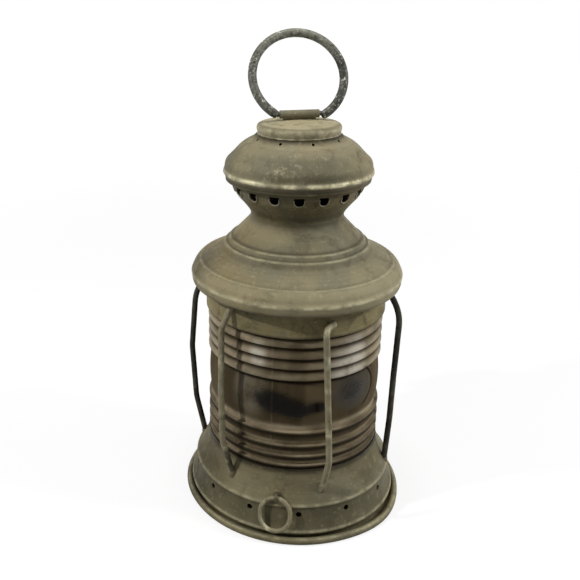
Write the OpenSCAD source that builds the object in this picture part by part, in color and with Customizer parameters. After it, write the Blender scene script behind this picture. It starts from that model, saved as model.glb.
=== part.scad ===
// Railway signal lamp: an oil lantern with a ribbed drum lens, six wire guards, a vented
// crown with a ring handle, and a fount with a flat-wick burner that drops out of the base.
// The lamp's axis is Z, the underside of its bottom pan is at Z = 0 and its front faces -Y.

/* [Sheet metal] */
// Thickness of the pressed sheet
sheet = 1; // [0.6:0.1:1.4]
// Thickness of the bottom pan and of the lens seat
plate = 1.2; // [0.8:0.1:1.6]

/* [Lens] */
// Radius at the tips of the lens ribs
lens_r = 57.3; // [50:0.1:70]
// Depth of the grooves between the ribs
rib_depth = 2.3; // [1:0.1:3.5]
// Height of one rib
rib_pitch = 6.9; // [5:0.1:10]
// Ribs above the belt, and as many below it
rib_count = 4; // [2:1:6]
// Height of the plain belt
belt_h = 36; // [20:0.1:45]
// How far the belt swells at its middle
belt_swell = 1.6; // [0.5:0.1:2.2]
// Glass between the grooves and the bore
lens_wall = 8; // [5:0.5:12]
// Plain end of the glass that stands in each metal cup
lens_end_h = 4.8; // [3.5:0.1:8]
// Thickness of the packing ring at each end of the glass
gasket_t = 1; // [0.6:0.1:2]
// Width of the packing ring
gasket_w = 6; // [3:0.5:7]

/* [Base] */
// Diameter of the rolled rim of the bottom pan
pan_rim_d = 4.6; // [3:0.1:6]
// Gap between the pan's rim and the foot of the band
pan_gap = 1.4; // [0.6:0.1:3]
// Height of the band, from the pan to the ledge
band_h = 22; // [18:0.5:30]
// Section radius of the bead round the band
bead_w = 1.6; // [1.2:0.1:2.2]
// Height of the bead's middle above the pan
bead_h = 5.6; // [4.6:0.1:8]
// How far the band flares from the ledge to the bead
band_flare = 4.2; // [2.5:0.1:8]
// How far the skirt flares from the lens to the ledge
skirt_flare = 8.6; // [6:0.1:16]
// Height of the skirt, from the ledge to the lens
skirt_h = 20.6; // [17:0.1:30]
// How far the skirt's lip stands past the band
lip_out = 0.6; // [0.3:0.1:1.2]
// Air holes round the band
air_count = 13; // [6:1:18]
// Diameter of an air hole
air_d = 3; // [1.5:0.1:5]
// Height of the air holes above the pan
air_h = 17; // [13:0.5:18]
// Direction of the first air hole, from the front
air_az = -7.5; // [-14:0.5:14]

/* [Hood] */
// Visible height of the collar between lens and hood
collar_h = 17.4; // [14:0.1:30]
// How far the hood's rim stands out past the collar
hood_overhang = 9.7; // [6:0.1:14]
// Height of the hood's upright rim
rim_h = 7.4; // [3:0.1:10]
// Height of the rounded shoulder above the rim
shoulder_h = 7.4; // [5:0.1:12]
// Width of the rounded shoulder
shoulder_w = 5.8; // [4:0.1:8]
// Rise of the hood's flat part for each millimetre inward
hood_slope = 0.5; // [0.3:0.01:0.8]
// Width of the hood's flat part
hood_flat_w = 10.4; // [8:0.1:12]
// Width of the curve from the flat part up to the pressed steps
hood_turn_w = 4.8; // [4:0.1:7]
// Rise of the hood's cone for each millimetre inward
cone_slope = 1.06; // [0.8:0.01:1.4]
// Outer radius of the neck
neck_r = 29.6; // [27:0.1:34]

/* [Crown] */
// Height of the vented bowl, from the neck to its lip
bowl_h = 22.4; // [18:0.1:30]
// Radius of the bowl's lip
bowl_r = 45.6; // [43:0.1:52]
// Radius at the middle of the vents
vent_r = 40.5; // [39:0.1:42]
// Vents round the bowl
vent_count = 17; // [8:1:20]
// Width of a vent
vent_w = 6; // [3:0.1:8]
// Height of a vent
vent_tall = 5.4; // [4:0.1:8]
// Distance from the bowl's lip down to the middle of the vents
vent_drop = 5.4; // [4.6:0.1:7]
// Direction of the first vent, from the front
vent_az = -10.9; // [-12:0.1:12]
// How far the crown's rim swells past the bowl's lip
crown_swell = 1.4; // [0.6:0.1:3]
// Height of the sharp edge of the crown's rim above the bowl's lip
crown_edge_h = 5.3; // [3:0.1:6]
// Height of the crown's rim up to its shoulder
crown_rim_h = 10.8; // [8:0.1:16]
// Radius at the foot of the crown's dome
dome_r = 38.6; // [34:0.1:41]
// Height of the waist between the rim and the dome
waist_h = 6.8; // [4:0.1:10]
// Height of the dome
dome_h = 9.3; // [6:0.1:14]
// Outer radius of the cap
cap_r = 26.4; // [24.6:0.1:28]
// Height of the cap's side
cap_h = 6.6; // [4:0.1:10]
// Height of the cap's domed top above its side
cap_dome = 2.1; // [1:0.1:4]
// Flat ring on the crown outside the cap
cap_shelf = 2.4; // [2.2:0.1:4]
// Small holes round the cap
pin_count = 9; // [4:1:16]
// Distance from the foot of the cap out to the small holes
pin_out = 3.5; // [2:0.1:4.5]
// Diameter of a small hole
pin_d = 1.9; // [1:0.1:2.2]

/* [Handle] */
// Outside diameter of the ring handle
ring_d = 63; // [50:0.5:80]
// Wire diameter of the ring handle
ring_wire_d = 5.6; // [4:0.1:7]
// Diameter of the two pin ends that turn in the sleeve
ring_pin_d = 3; // [2:0.1:4]
// Length of a pin end inside the sleeve
ring_pin_l = 7; // [4:0.5:10]
// Length of the sleeve that holds the ring
sleeve_l = 24.4; // [20:0.2:32]
// Outside diameter of the sleeve
sleeve_d = 5; // [4.6:0.1:7]
// Height of the ring's axis above the top of the cap
ring_axis_h = 3.4; // [3.2:0.1:8]
// Backward lean of the ring where it stands at rest
ring_lean = 28; // [0:1:30]

/* [Guards] */
// Guard wires round the lens
guard_count = 6; // [6:1:6]
// Wire diameter of a guard
guard_d = 4; // [2.5:0.1:5]
// Distance from the rib tips to the middle of a guard
guard_gap = 11.1; // [8:0.1:16]
// Direction of the first guard, from the front
guard_az = 8; // [-15:0.5:15]
// Bend radius of the guard wire
guard_bend = 9; // [6:0.5:12]
// Distance from the top of the ribs down to the upper bend
guard_upper = 2; // [-2:0.5:10]
// Distance from the foot of the ribs up to the lower bend
guard_lower = 13.2; // [6:0.1:20]

/* [Catch] */
// Direction of the pull ring, from the front
pull_az = -20; // [-23:0.1:-19]
// Width of the pull ring
pull_w = 22; // [18:0.5:28]
// Length of the pull ring
pull_l = 24; // [24:0.5:29]
// Wire diameter of the pull ring
pull_wire_d = 3; // [2:0.1:3.4]
// Height of the eye above the ledge
eye_rise = 6.4; // [5.6:0.1:7.5]
// Outside diameter of the eye
eye_d = 6.4; // [6:0.1:7]
// Thickness of the eye
eye_t = 1.8; // [1.2:0.1:2.4]
// Diameter of the eye's shank
shank_d = 2.6; // [1.8:0.1:3]
// Thickness of the catch spring
spring_t = 0.8; // [0.4:0.1:1.2]
// Width of the catch spring
spring_w = 8; // [6:0.5:12]

/* [Fount] */
// Space between the tank and the band's ledge
tank_gap = 16; // [14:0.5:24]
// Height of the tank's side
tank_h = 26; // [20:0.5:30]
// Rise of the tank's cone up to the burner
tank_cone_h = 5; // [3:0.5:7]
// Wall of the tank
tank_wall = 0.9; // [0.6:0.1:1.4]
// Outer radius of the burner's thread ring
thread_r = 14; // [12:0.5:17]
// Distance from the tank's side to the middle of the filler
filler_in = 17; // [15:0.5:19]
// Outer radius of the filler's neck
filler_r = 8; // [6:0.1:9]
// Height of the filler's neck
filler_h = 5; // [4:0.1:8]

/* [Burner] */
// Radius of the burner's gallery
gallery_r = 19; // [18:0.5:24]
// Thickness of the burner's gallery
gallery_t = 2.4; // [1.6:0.1:4]
// Width of the wick
wick_w = 15; // [10:0.5:18]
// Thickness of the wick
wick_t = 2.6; // [1.6:0.1:3.2]
// Distance from the middle of the lens down to the top of the wick tube
flame_drop = 15; // [8:0.5:20]
// Wall of the wick tube
tube_wall = 0.8; // [0.5:0.1:1.2]
// Diameter of the spindle that raises the wick
spindle_d = 2; // [1.6:0.1:2.6]
// Height of the spindle above the gallery
spindle_h = 8; // [7:0.1:12]
// Outer radius of the spindle's spur wheels
spur_r = 2.8; // [2.2:0.1:3.2]
// Teeth on a spur wheel
spur_teeth = 13; // [10:1:18]
// Distance from the lamp's axis to the knob
knob_off = 27; // [25:0.5:30]
// Radius of the knob
knob_r = 6.5; // [5:0.1:7.5]

/* [Fits] */
// Radial clearance of a pin or shaft that turns or slides
run_fit = 0.06; // [0.02:0.01:0.1]
// Clearance round a piece that is soldered or pressed in place
seam = 0.1; // [0.05:0.05:0.2]
// Clearance between pieces that move past each other
free_gap = 0.35; // [0.3:0.05:0.5]

/* [Hidden] */
$fn = 96;
fine = 360;
curve_steps = 6;
rib_steps = 4;
through = 40;
eps = 0.01;

shell_colour = "#8f8465";
dark_colour = "#57503d";
wire_colour = "#7b745c";
steel_colour = "#77746a";
glass_colour = [0.55, 0.50, 0.46, 0.75];
felt_colour = "#6b6455";
wick_colour = "#d8d0bd";

groove_r = lens_r - rib_depth;
bore_r = groove_r - lens_wall;
cup_play = 0.3;
cup_r = groove_r + cup_play + sheet;
skirt_r = cup_r + seam + sheet;
collar_in_r = lens_r + 2 * seam;
collar_r = collar_in_r + sheet;
ledge_r = skirt_r + skirt_flare;
lip_r = ledge_r + lip_out;
bead_r = ledge_r + band_flare;
bead_top_a = 30;
foot_r = bead_r - bead_w - lip_out;
pan_mid_r = foot_r + pan_gap + pan_rim_d / 2;

ledge_z = plate + band_h;
skirt_z = ledge_z + skirt_h;
bead_z = plate + bead_h;
ribs_h = belt_h + 2 * rib_count * rib_pitch;
ribs_z = skirt_z + sheet;
belt_z = ribs_z + rib_count * rib_pitch;
lens_mid_z = belt_z + belt_h / 2;
ribs_top_z = ribs_z + ribs_h;
glass_z = ribs_z - lens_end_h;
glass_top_z = ribs_top_z + lens_end_h;
seat_z = glass_z - gasket_t;
roof_z = glass_top_z + gasket_t;
seat_hole_r = bore_r + sheet;

hood_z = ribs_top_z + collar_h;
hood_r = collar_r + hood_overhang;
rim_z = hood_z + rim_h;
rim_tuck = 0.8;
shoulder_r = hood_r - shoulder_w;
shoulder_z = rim_z + shoulder_h;
hood_turn_r = shoulder_r - hood_flat_w;
step_r = hood_turn_r - hood_turn_w;
turn_z = shoulder_z + hood_flat_w * hood_slope;
step_w = 3;
step_rise = 2.35;
step_count = 2;
step_lean = 1.4;
step_h = step_rise + (step_w - step_lean) * hood_slope;
step_z = turn_z + hood_turn_w * (hood_slope + cone_slope) / 2;
cone_r = step_r - step_count * step_w;
cone_z = step_z + step_count * step_h;
neck_turn = 1.4;
neck_turn_h = 3.8;
neck_z = cone_z + (cone_r - neck_r - neck_turn) * cone_slope + neck_turn_h;

lip_z = neck_z + bowl_h;
seal_z = lip_z + sheet;
bowl_knee = 1.5;
vent_z = lip_z - vent_drop;
bulge_in = 2.4;
bulge_drop = 5;
bulge_r = vent_r - bulge_in;
bulge_z = vent_z - bulge_drop;
knee_reach = bowl_r - vent_r;
knee_out = 0.275 * knee_reach;
knee_turn = 0.1 * knee_reach;
spigot_r = neck_r - sheet - 2 * seam;
spigot_l = 8;
crown_r = bowl_r + crown_swell;
crown_edge_z = seal_z + crown_edge_h;
crown_tuck = 1.3;
waist_z = seal_z + crown_rim_h;
dome_z = waist_z + waist_h;
shelf_z = dome_z + dome_h;
cap_taper = 0.7;
cap_foot_r = cap_r - cap_taper;
crown_hole_r = cap_foot_r - 2 * sheet;
shelf_r = cap_foot_r + cap_shelf;
pin_r = cap_foot_r + pin_out;
pin_az = 5;
cap_edge = 1.4;
cap_top_z = shelf_z + cap_h + cap_dome;

ring_axis_z = cap_top_z + ring_axis_h;
ring_wire_r = ring_wire_d / 2;
ring_mid_r = ring_d / 2 - ring_wire_r;
knuckle_swell = 0.25;
knuckle_r = ring_wire_r + knuckle_swell;
ring_half = sleeve_l / 2 + free_gap + knuckle_r;
ring_centre_h = sqrt(pow(ring_mid_r, 2) - pow(ring_half, 2));
ring_open_a = asin(ring_half / ring_mid_r);
tab_inset = 2;
tab_l = sleeve_l - 2 * tab_inset;
tab_foot_w = 8;

bend_swell = 0.02;
bend_lap = 2;
guard_r = lens_r + guard_gap;
guard_top_z = ribs_top_z - guard_upper;
guard_low_z = ribs_z + guard_lower;
guard_end_h = 3.8;
guard_end_z = ledge_z + guard_end_h;
guard_in = 2;
guard_top_slope = 1.85;
guard_foot_slope = 0.222;
guard_path = [
    [collar_r - guard_in, guard_top_z + guard_top_slope * (guard_r - collar_r + guard_in)],
    [guard_r, guard_top_z],
    [guard_r, guard_low_z],
    [guard_r - guard_foot_slope * (guard_low_z - guard_end_z), guard_end_z],
];
ferrule_wall = 0.6;
ferrule_d = guard_d + 2 * ferrule_wall;
ferrule_l = 4.2;

eye_out = 0.2;
eye_r = lip_r + eye_out;
eye_z = ledge_z + eye_rise;
eye_hole_d = pull_wire_d + 2 * free_gap;
pull_gap = 1.1;
pull_mid_r = (pull_w - pull_wire_d) / 2;
pull_tilt = asin((bead_r + pull_gap + pull_wire_d / 2 - eye_r) / (pull_l - pull_wire_d));
bush_wall = 1.1;
bush_d = shank_d + 2 * bush_wall;

tank_r = ledge_r - tank_gap;
hook_gap = 3;
wall_r = tank_r + hook_gap;
hook_r = wall_r + sheet;
hook_out = 1.5;
hook_h = 8;
hook_z = plate + hook_h;
spring_r = hook_r + hook_out + 2 * free_gap;
nose_t = 1;
nose_z = hook_z - free_gap - nose_t;
head_out = 1.2;
head_d = shank_d + 2 * head_out;
head_t = 1.2;
pull_travel = 2;
eye_root = 0.6;
rivet_d = 1.8;
rivet_head_d = 3.4;
rivet_head_t = 0.8;
rivet_off = 2;
rivet_inset = 3.4;
spring_inset = 1;

tank_top_z = plate + tank_h;
tank_edge = 3;
tank_cone_w = 6;
tank_flat_r = thread_r + tank_cone_w;
thread_z = tank_top_z + tank_edge + tank_cone_h;
thread_h = 4;
thread_wall = 2.6;
thread_in_r = thread_r - thread_wall;
gallery_z = thread_z + thread_h;
plug_r = thread_in_r - seam;
plug_l = 5;
tube_w = wick_w + 2 * (free_gap + tube_wall);
tube_t = wick_t + 2 * (free_gap + tube_wall);
tube_top_z = lens_mid_z - flame_drop;
tube_z = gallery_z - plug_l;
wick_lift = 6;
wick_z = plate + tank_wall + wick_lift;
wick_show = 2.4;
wick_top_z = tube_top_z + wick_show;
spindle_y = wick_t / 2 + spur_r + free_gap;
spindle_z = gallery_z + gallery_t + spindle_h;
lug_gap = 1.2;
lug_x = tube_w / 2 + lug_gap;
lug_t = 1.6;
lug_w = 5;
spur_x = wick_w / 4;
spur_t = 1.6;
spur_notch = 0.4;
knob_t = 3;
knob_notches = 18;
knob_notch = 0.6;
cone_inset = 1;
cone_side = 2.2;
cone_foot_r = gallery_r - cone_inset;
cone_top_r = tube_w / 2 + cone_side;
cone_foot_z = gallery_z + gallery_t;
cone_drop = 2;
cone_turn_h = 3;
cone_top_z = tube_top_z - cone_drop;
cone_slot = 1.6;
cone_t = 0.8;
air_slot_d = 2.4;
air_slots = 16;

filler_z = tank_top_z + tank_edge;
filler_off = tank_r - filler_in;
filler_wall = 1;
cap_wall = 1.2;
filler_cap_r = filler_r + free_gap + cap_wall;
filler_cap_up = 0.6;
filler_cap_h = filler_h - filler_cap_up;
grip_l = 12;
grip_t = 2.4;
grip_h = 3.4;

chimney_t = 0.8;
chimney_gap = 4.4;
chimney_foot_w = 7;
chimney_rise = 6;
chimney_r = spigot_r - sheet - chimney_gap;
chimney_foot_r = seat_hole_r + chimney_foot_w;
chimney_cone_z = neck_z - 2 * chimney_rise;
chimney_top_z = neck_z + chimney_rise;
baffle_gap = 5;
baffle_r = bulge_r - baffle_gap;
baffle_arm_w = 8;

// Outline helpers: points are [radius, height], listed from the bottom up
function reversed(v) = [for (i = [len(v) - 1:-1:0]) v[i]];
function unit(v) = v / norm(v);
function left_of(v) = [-v[1], v[0]];
function crosswise(u, v) = u[0] * v[1] - u[1] * v[0];
function mitre(n, m) = 2 * (n + m) / ((n + m) * (n + m));
function side(p, t) = [
    for (i = [0:len(p) - 1])
        let (n = left_of(unit(p[max(i, 1)] - p[max(i, 1) - 1])))
        let (j = min(i + 1, len(p) - 1))
        let (m = left_of(unit(p[j] - p[j - 1])))
        p[i] + t * mitre(n, m)
];
function wall(p, t) = concat(p, reversed(side(p, t)));
function bow(a, b, c) = [
    for (i = [1:curve_steps])
        let (t = i / curve_steps)
        (1 - t) * (1 - t) * a + 2 * t * (1 - t) * b + t * t * c
];
function arc(c, r, from, to) = [
    for (i = [0:curve_steps])
        let (a = from + (to - from) * i / curve_steps)
        c + r * [cos(a), sin(a)]
];
function under_hood(r) =
    shoulder_z + (shoulder_r - r) * hood_slope - sheet * sqrt(1 + hood_slope * hood_slope);

module spun(p) {
    rotate_extrude() polygon(p);
}

module shell(p, t = sheet) {
    spun(wall(p, t));
}

module ring(r_in, r_out, z, h) {
    translate([0, 0, z]) difference() {
        cylinder(r = r_out, h = h);
        translate([0, 0, -eps]) cylinder(r = r_in, h = h + 2 * eps);
    }
}

// Places children so that their X points outward in the given direction from the front
module facing(az) {
    rotate([0, 0, az - 90]) children();
}

// Round bar between two points of the XZ plane
module rod(a, b, r) {
    translate([a[0], 0, a[1]]) rotate([0, atan2(b[0] - a[0], b[1] - a[1]), 0])
        cylinder(r = r, h = norm(b - a));
}

// Part of a round ring in the XZ plane
module hoop(c, mid_r, r, from, sweep) {
    translate([c[0], 0, c[1]]) rotate([90, 0, 0]) rotate([0, 0, from])
        rotate_extrude(angle = sweep) translate([mid_r, 0]) circle(r = r);
}

// Wire bent along points of the XZ plane: each bend is a hair thicker than the straight
// runs and laps over them, so that they meet in a clean step
function turn_at(p, i) =
    let (u = unit(p[i] - p[i - 1]), v = unit(p[i + 1] - p[i]))
    atan2(crosswise(u, v), u * v);
function inner(p, i) = i > 0 && i < len(p) - 1;
function trim_at(p, i, bend) = inner(p, i) ? bend * tan(abs(turn_at(p, i)) / 2) : 0;

module wire(p, bend, r) {
    for (i = [0:len(p) - 2]) {
        along = unit(p[i + 1] - p[i]);
        rod(p[i] + along * trim_at(p, i, bend), p[i + 1] - along * trim_at(p, i + 1, bend), r);
    }
    for (i = [1:len(p) - 2]) {
        along = unit(p[i] - p[i - 1]);
        turn = turn_at(p, i);
        start = p[i] - along * trim_at(p, i, bend);
        centre = start + sign(turn) * bend * left_of(along);
        from = atan2(start[1] - centre[1], start[0] - centre[0]);
        hoop(centre, bend, r + bend_swell, min(from, from + turn) - bend_lap, abs(turn) + 2 * bend_lap);
    }
}

// Fount: it drops out of the base with the bottom pan
module base_pan() {
    color(shell_colour) union() {
        cylinder(r = pan_mid_r, h = plate);
        translate([0, 0, pan_rim_d / 2]) rotate_extrude()
            translate([pan_mid_r, 0]) circle(d = pan_rim_d);
        spun([
            [wall_r, plate / 2], [hook_r, plate / 2], [hook_r, hook_z],
            [hook_r + hook_out, hook_z], [hook_r + hook_out, hook_z + sheet],
            [wall_r, hook_z + sheet],
        ]);
    }
}

tank_outline = concat(
    [[0, plate], [tank_r, plate], [tank_r, tank_top_z]],
    bow([tank_r, tank_top_z], [tank_r, filler_z], [tank_r - tank_edge, filler_z]),
    [[tank_flat_r, filler_z], [thread_r, thread_z], [thread_in_r, thread_z]]
);

module fount_tank() {
    color(dark_colour) difference() {
        shell(tank_outline, tank_wall);
        translate([0, filler_off, filler_z - through / 2])
            cylinder(r = filler_r - filler_wall, h = through);
    }
}

module filler_neck() {
    color(dark_colour) translate([0, filler_off, 0])
        ring(filler_r - filler_wall, filler_r, filler_z, filler_h);
}

module filler_cap() {
    top = filler_z + filler_h + free_gap;
    color(shell_colour) translate([0, filler_off, 0]) union() {
        spun([
            [0, top], [filler_r + free_gap, top], [filler_r + free_gap, top - filler_cap_h],
            [filler_cap_r, top - filler_cap_h], [filler_cap_r, top + cap_wall], [0, top + cap_wall],
        ]);
        translate([-grip_l / 2, -grip_t / 2, top + cap_wall - eps]) cube([grip_l, grip_t, grip_h]);
    }
}

module thread_ring() {
    color(shell_colour) ring(thread_in_r, thread_r, thread_z, thread_h);
}

// Flat block centred on the lamp's axis
module slab(w, t, z, h) {
    translate([-w / 2, -t / 2, z]) cube([w, t, h]);
}

module burner_gallery() {
    lug_top = spindle_z + lug_w / 2;
    color(shell_colour) difference() {
        union() {
            translate([0, 0, gallery_z]) cylinder(r = gallery_r, h = gallery_t);
            translate([0, 0, gallery_z - plug_l]) cylinder(r = plug_r, h = plug_l + eps);
            for (x = [-lug_x - lug_t, lug_x])
                translate([x, spindle_y - lug_w / 2, gallery_z + gallery_t - eps])
                    cube([lug_t, lug_w, lug_top - gallery_z - gallery_t]);
        }
        slab(tube_w + 2 * seam, tube_t + 2 * seam, gallery_z - through / 2, through);
        translate([-through, spindle_y, spindle_z]) rotate([0, 90, 0])
            cylinder(d = spindle_d + 2 * run_fit, h = 2 * through);
        for (i = [0:air_slots - 1]) rotate([0, 0, (i + 0.5) * 360 / air_slots])
            translate([(thread_r + cone_foot_r) / 2, 0, gallery_z - eps])
                cylinder(d = air_slot_d, h = gallery_t + 2 * eps);
    }
}

module wick_tube() {
    tall = tube_top_z - tube_z;
    play = 2 * free_gap;
    window = 2 * (spur_r + play);
    color(shell_colour) difference() {
        slab(tube_w, tube_t, tube_z, tall);
        slab(tube_w - 2 * tube_wall, tube_t - 2 * tube_wall, tube_z - eps, tall + 2 * eps);
        for (s = [-1, 1]) translate([s * spur_x - spur_t / 2 - play, 0, spindle_z - window / 2])
            cube([spur_t + 2 * play, tube_t, window]);
    }
}

module burner_cone() {
    cone_turn = [cone_top_r, cone_top_z - cone_turn_h];
    outline = concat(
        [[cone_foot_r, cone_foot_z], [cone_foot_r, cone_foot_z + cone_t]],
        bow([cone_foot_r, cone_foot_z + cone_t], [cone_foot_r, cone_top_z - 2 * cone_turn_h], cone_turn),
        bow(cone_turn, [cone_top_r - cone_turn_h, cone_top_z], [tube_t / 2, cone_top_z]),
        [[0, cone_top_z]]
    );
    color(dark_colour) difference() {
        shell(outline, cone_t);
        slab(tube_w + 2 * cone_slot, tube_t + 2 * cone_slot, cone_top_z - through / 4, through);
        translate([0, spindle_y, spindle_z]) rotate([0, 90, 0])
            cylinder(d = spindle_d + 2 * free_gap, h = through);
    }
}

module wick() {
    color(wick_colour) slab(wick_w, wick_t, wick_z, wick_top_z - wick_z);
}

module wick_spindle() {
    inner_end = lug_x + lug_t + spindle_d / 2;
    color(steel_colour) translate([0, spindle_y, spindle_z]) rotate([0, 90, 0]) {
        translate([0, 0, -inner_end]) cylinder(d = spindle_d, h = inner_end + knob_off);
        for (s = [-1, 1]) translate([0, 0, s * spur_x - spur_t / 2]) difference() {
            cylinder(r = spur_r, h = spur_t);
            for (i = [0:spur_teeth - 1]) rotate([0, 0, i * 360 / spur_teeth])
                translate([spur_r, 0, -eps]) cylinder(r = spur_notch, h = spur_t + 2 * eps, $fn = 24);
        }
    }
}

module wick_knob() {
    color(shell_colour) translate([knob_off, spindle_y, spindle_z]) rotate([0, 90, 0]) difference() {
        cylinder(r = knob_r, h = knob_t);
        for (i = [0:knob_notches - 1]) rotate([0, 0, i * 360 / knob_notches])
            translate([knob_r, 0, -eps]) cylinder(r = knob_notch, h = knob_t + 2 * eps, $fn = 24);
    }
}

// Base of the lamp
bead_mid = [bead_r - bead_w, bead_z];
bead_top = bead_mid + bead_w * [cos(bead_top_a), sin(bead_top_a)];
band_outline = concat(
    [[foot_r, plate], [foot_r, bead_z - bead_w]],
    arc(bead_mid, bead_w, -90, bead_top_a),
    bow(bead_top, [ledge_r + band_flare / 8, bead_z + 0.3 * (ledge_z - bead_z)], [ledge_r, ledge_z])
);

module base_band() {
    color(shell_colour) difference() {
        shell(band_outline);
        for (i = [0:air_count - 1]) facing(air_az + i * 360 / air_count)
            translate([ledge_r - through / 4, 0, plate + air_h]) rotate([0, 90, 0])
                cylinder(d = air_d, h = through);
    }
}

skirt_foot = [lip_r - sheet, ledge_z + 1.7 * sheet];
skirt_outline = concat(
    [[lip_r, ledge_z], [lip_r, ledge_z + sheet], skirt_foot],
    bow(skirt_foot, [skirt_r + 0.22 * skirt_flare, ledge_z + skirt_h / 2], [skirt_r, skirt_z])
);

module base_skirt() {
    color(shell_colour) difference() {
        shell(skirt_outline);
        guard_wires(guard_d / 2 + seam);
        facing(pull_az) translate([spring_r, 0, eye_z]) rotate([0, 90, 0])
            cylinder(d = bush_d + 2 * seam, h = through);
    }
}

module lens_seat() {
    cup_in_r = groove_r + cup_play;
    color(shell_colour) difference() {
        spun([
            [seat_hole_r, seat_z - plate], [cup_r, seat_z - plate], [cup_r, skirt_z],
            [skirt_r, skirt_z], [skirt_r, skirt_z + sheet], [cup_in_r, skirt_z + sheet],
            [cup_in_r, seat_z], [seat_hole_r, seat_z],
        ]);
        rivet_places() cylinder(d = rivet_d + 2 * seam, h = through, center = true);
    }
}

// Glass and its packing
rib_rise = [for (i = [0:rib_steps]) i / rib_steps];
lens_outline = concat(
    [[groove_r, glass_z]],
    [for (i = [0:rib_count - 1]) for (t = rib_rise)
        [groove_r + rib_depth * sin(90 * t), ribs_z + (i + t) * rib_pitch]],
    [for (i = [0:2 * curve_steps]) let (t = i / (2 * curve_steps))
        [groove_r + belt_swell * sin(180 * t), belt_z + t * belt_h]],
    [for (i = [0:rib_count - 1]) for (t = rib_rise)
        [groove_r + rib_depth * sin(90 * (1 - t)), belt_z + belt_h + (i + t) * rib_pitch]],
    [[groove_r, glass_top_z]]
);

module lens() {
    color(glass_colour) spun(concat(lens_outline, [[bore_r, glass_top_z], [bore_r, glass_z]]));
}

module lower_gasket() {
    color(felt_colour) ring(groove_r - gasket_w, groove_r, seat_z, gasket_t);
}

module upper_gasket() {
    color(felt_colour) ring(groove_r - gasket_w, groove_r, glass_top_z, gasket_t);
}

// Top of the lamp
module upper_collar() {
    color(shell_colour) difference() {
        spun([
            [collar_in_r, ribs_top_z], [collar_r, ribs_top_z], [collar_r, under_hood(collar_r)],
            [collar_in_r, under_hood(collar_in_r)], [collar_in_r, roof_z + sheet],
            [seat_hole_r, roof_z + sheet], [seat_hole_r, roof_z], [collar_in_r, roof_z],
        ]);
        guard_wires(guard_d / 2 + seam);
    }
}

module inner_chimney() {
    color(dark_colour) shell([
        [chimney_foot_r, roof_z + sheet], [seat_hole_r, roof_z + sheet],
        [chimney_r, chimney_cone_z], [chimney_r, chimney_top_z],
    ], -chimney_t);
}

shoulder = [shoulder_r, shoulder_z];
hood_turn = [hood_turn_r, turn_z];
neck_foot = [neck_r + neck_turn, neck_z - neck_turn_h];
hood_outline = concat(
    [[hood_r - rim_tuck, hood_z], [hood_r - rim_tuck / 4, hood_z + 2 * rim_tuck], [hood_r, rim_z]],
    bow([hood_r, rim_z], shoulder + 0.62 * [shoulder_w, -shoulder_w * hood_slope], shoulder),
    [hood_turn],
    bow(hood_turn, hood_turn + hood_turn_w / 2 * [-1, hood_slope], [step_r, step_z]),
    [for (i = [0:step_count - 1]) for (ledge = [0, 1])
        [step_r - i * step_w - (ledge == 0 ? step_lean : step_w),
         step_z + i * step_h + (ledge == 0 ? step_rise : step_h)]],
    [neck_foot],
    bow(neck_foot, [neck_r, neck_z - 0.6 * neck_turn_h], [neck_r, neck_z])
);

module hood() {
    color(shell_colour) shell(hood_outline);
}

bulge = [bulge_r, bulge_z];
bowl_foot = [neck_r, neck_z + sheet];
bowl_flare = bulge_z - bowl_foot[1];
knee = [vent_r + knee_out, lip_z - bowl_knee];
bowl_outline = concat(
    [[neck_r, neck_z], bowl_foot],
    bow(bowl_foot, bowl_foot + [0.1, 0.3] * bowl_flare, bulge),
    bow(bulge, bulge + [0.14, 0.2] * bowl_flare, knee),
    [[knee[0] + knee_turn, lip_z], [bowl_r, lip_z]]
);

module vent_hole() {
    rotate([90, 0, 90]) linear_extrude(through / 3, center = true) union() {
        translate([-vent_w / 2, vent_w / 2 - vent_tall / 2]) square([vent_w, vent_tall - vent_w / 2]);
        translate([0, vent_w / 2 - vent_tall / 2]) circle(d = vent_w);
    }
}

module crown_bowl() {
    color(shell_colour) difference() {
        union() {
            shell(bowl_outline);
            ring(spigot_r - sheet, spigot_r, neck_z - spigot_l, spigot_l + sheet);
            ring(spigot_r - sheet, neck_r - sheet / 2, neck_z, sheet);
        }
        for (i = [0:vent_count - 1]) facing(vent_az + i * 360 / vent_count)
            translate([vent_r, 0, vent_z]) vent_hole();
    }
}

module wind_baffle() {
    color(dark_colour) union() {
        translate([0, 0, seal_z]) cylinder(r = baffle_r, h = sheet);
        for (a = [0, 120, 240]) rotate([0, 0, a]) intersection() {
            translate([0, -baffle_arm_w / 2, seal_z]) cube([bowl_r, baffle_arm_w, sheet]);
            translate([0, 0, seal_z]) cylinder(r = bowl_r - 2 * sheet, h = sheet);
        }
    }
}

crown_edge = [crown_r, crown_edge_z];
crown_waist = [crown_r - crown_tuck, waist_z];
dome_foot = [dome_r, dome_z];
crown_outline = concat(
    [[bowl_r, seal_z], [bowl_r + 0.5 * crown_swell, seal_z + 0.15 * crown_rim_h], crown_edge],
    bow(crown_edge, [crown_r + crown_tuck / 4, waist_z - crown_tuck], crown_waist),
    bow(crown_waist, [dome_r + waist_h / 3, waist_z + 0.44 * waist_h], dome_foot),
    bow(dome_foot, [dome_r - dome_h / 3, dome_z + 0.72 * dome_h], [shelf_r, shelf_z]),
    [[crown_hole_r, shelf_z]]
);

module crown() {
    color(shell_colour) difference() {
        shell(crown_outline);
        for (i = [0:pin_count - 1]) facing(pin_az + i * 360 / pin_count)
            translate([pin_r, 0, shelf_z - through / 4]) cylinder(d = pin_d, h = through);
    }
}

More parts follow.
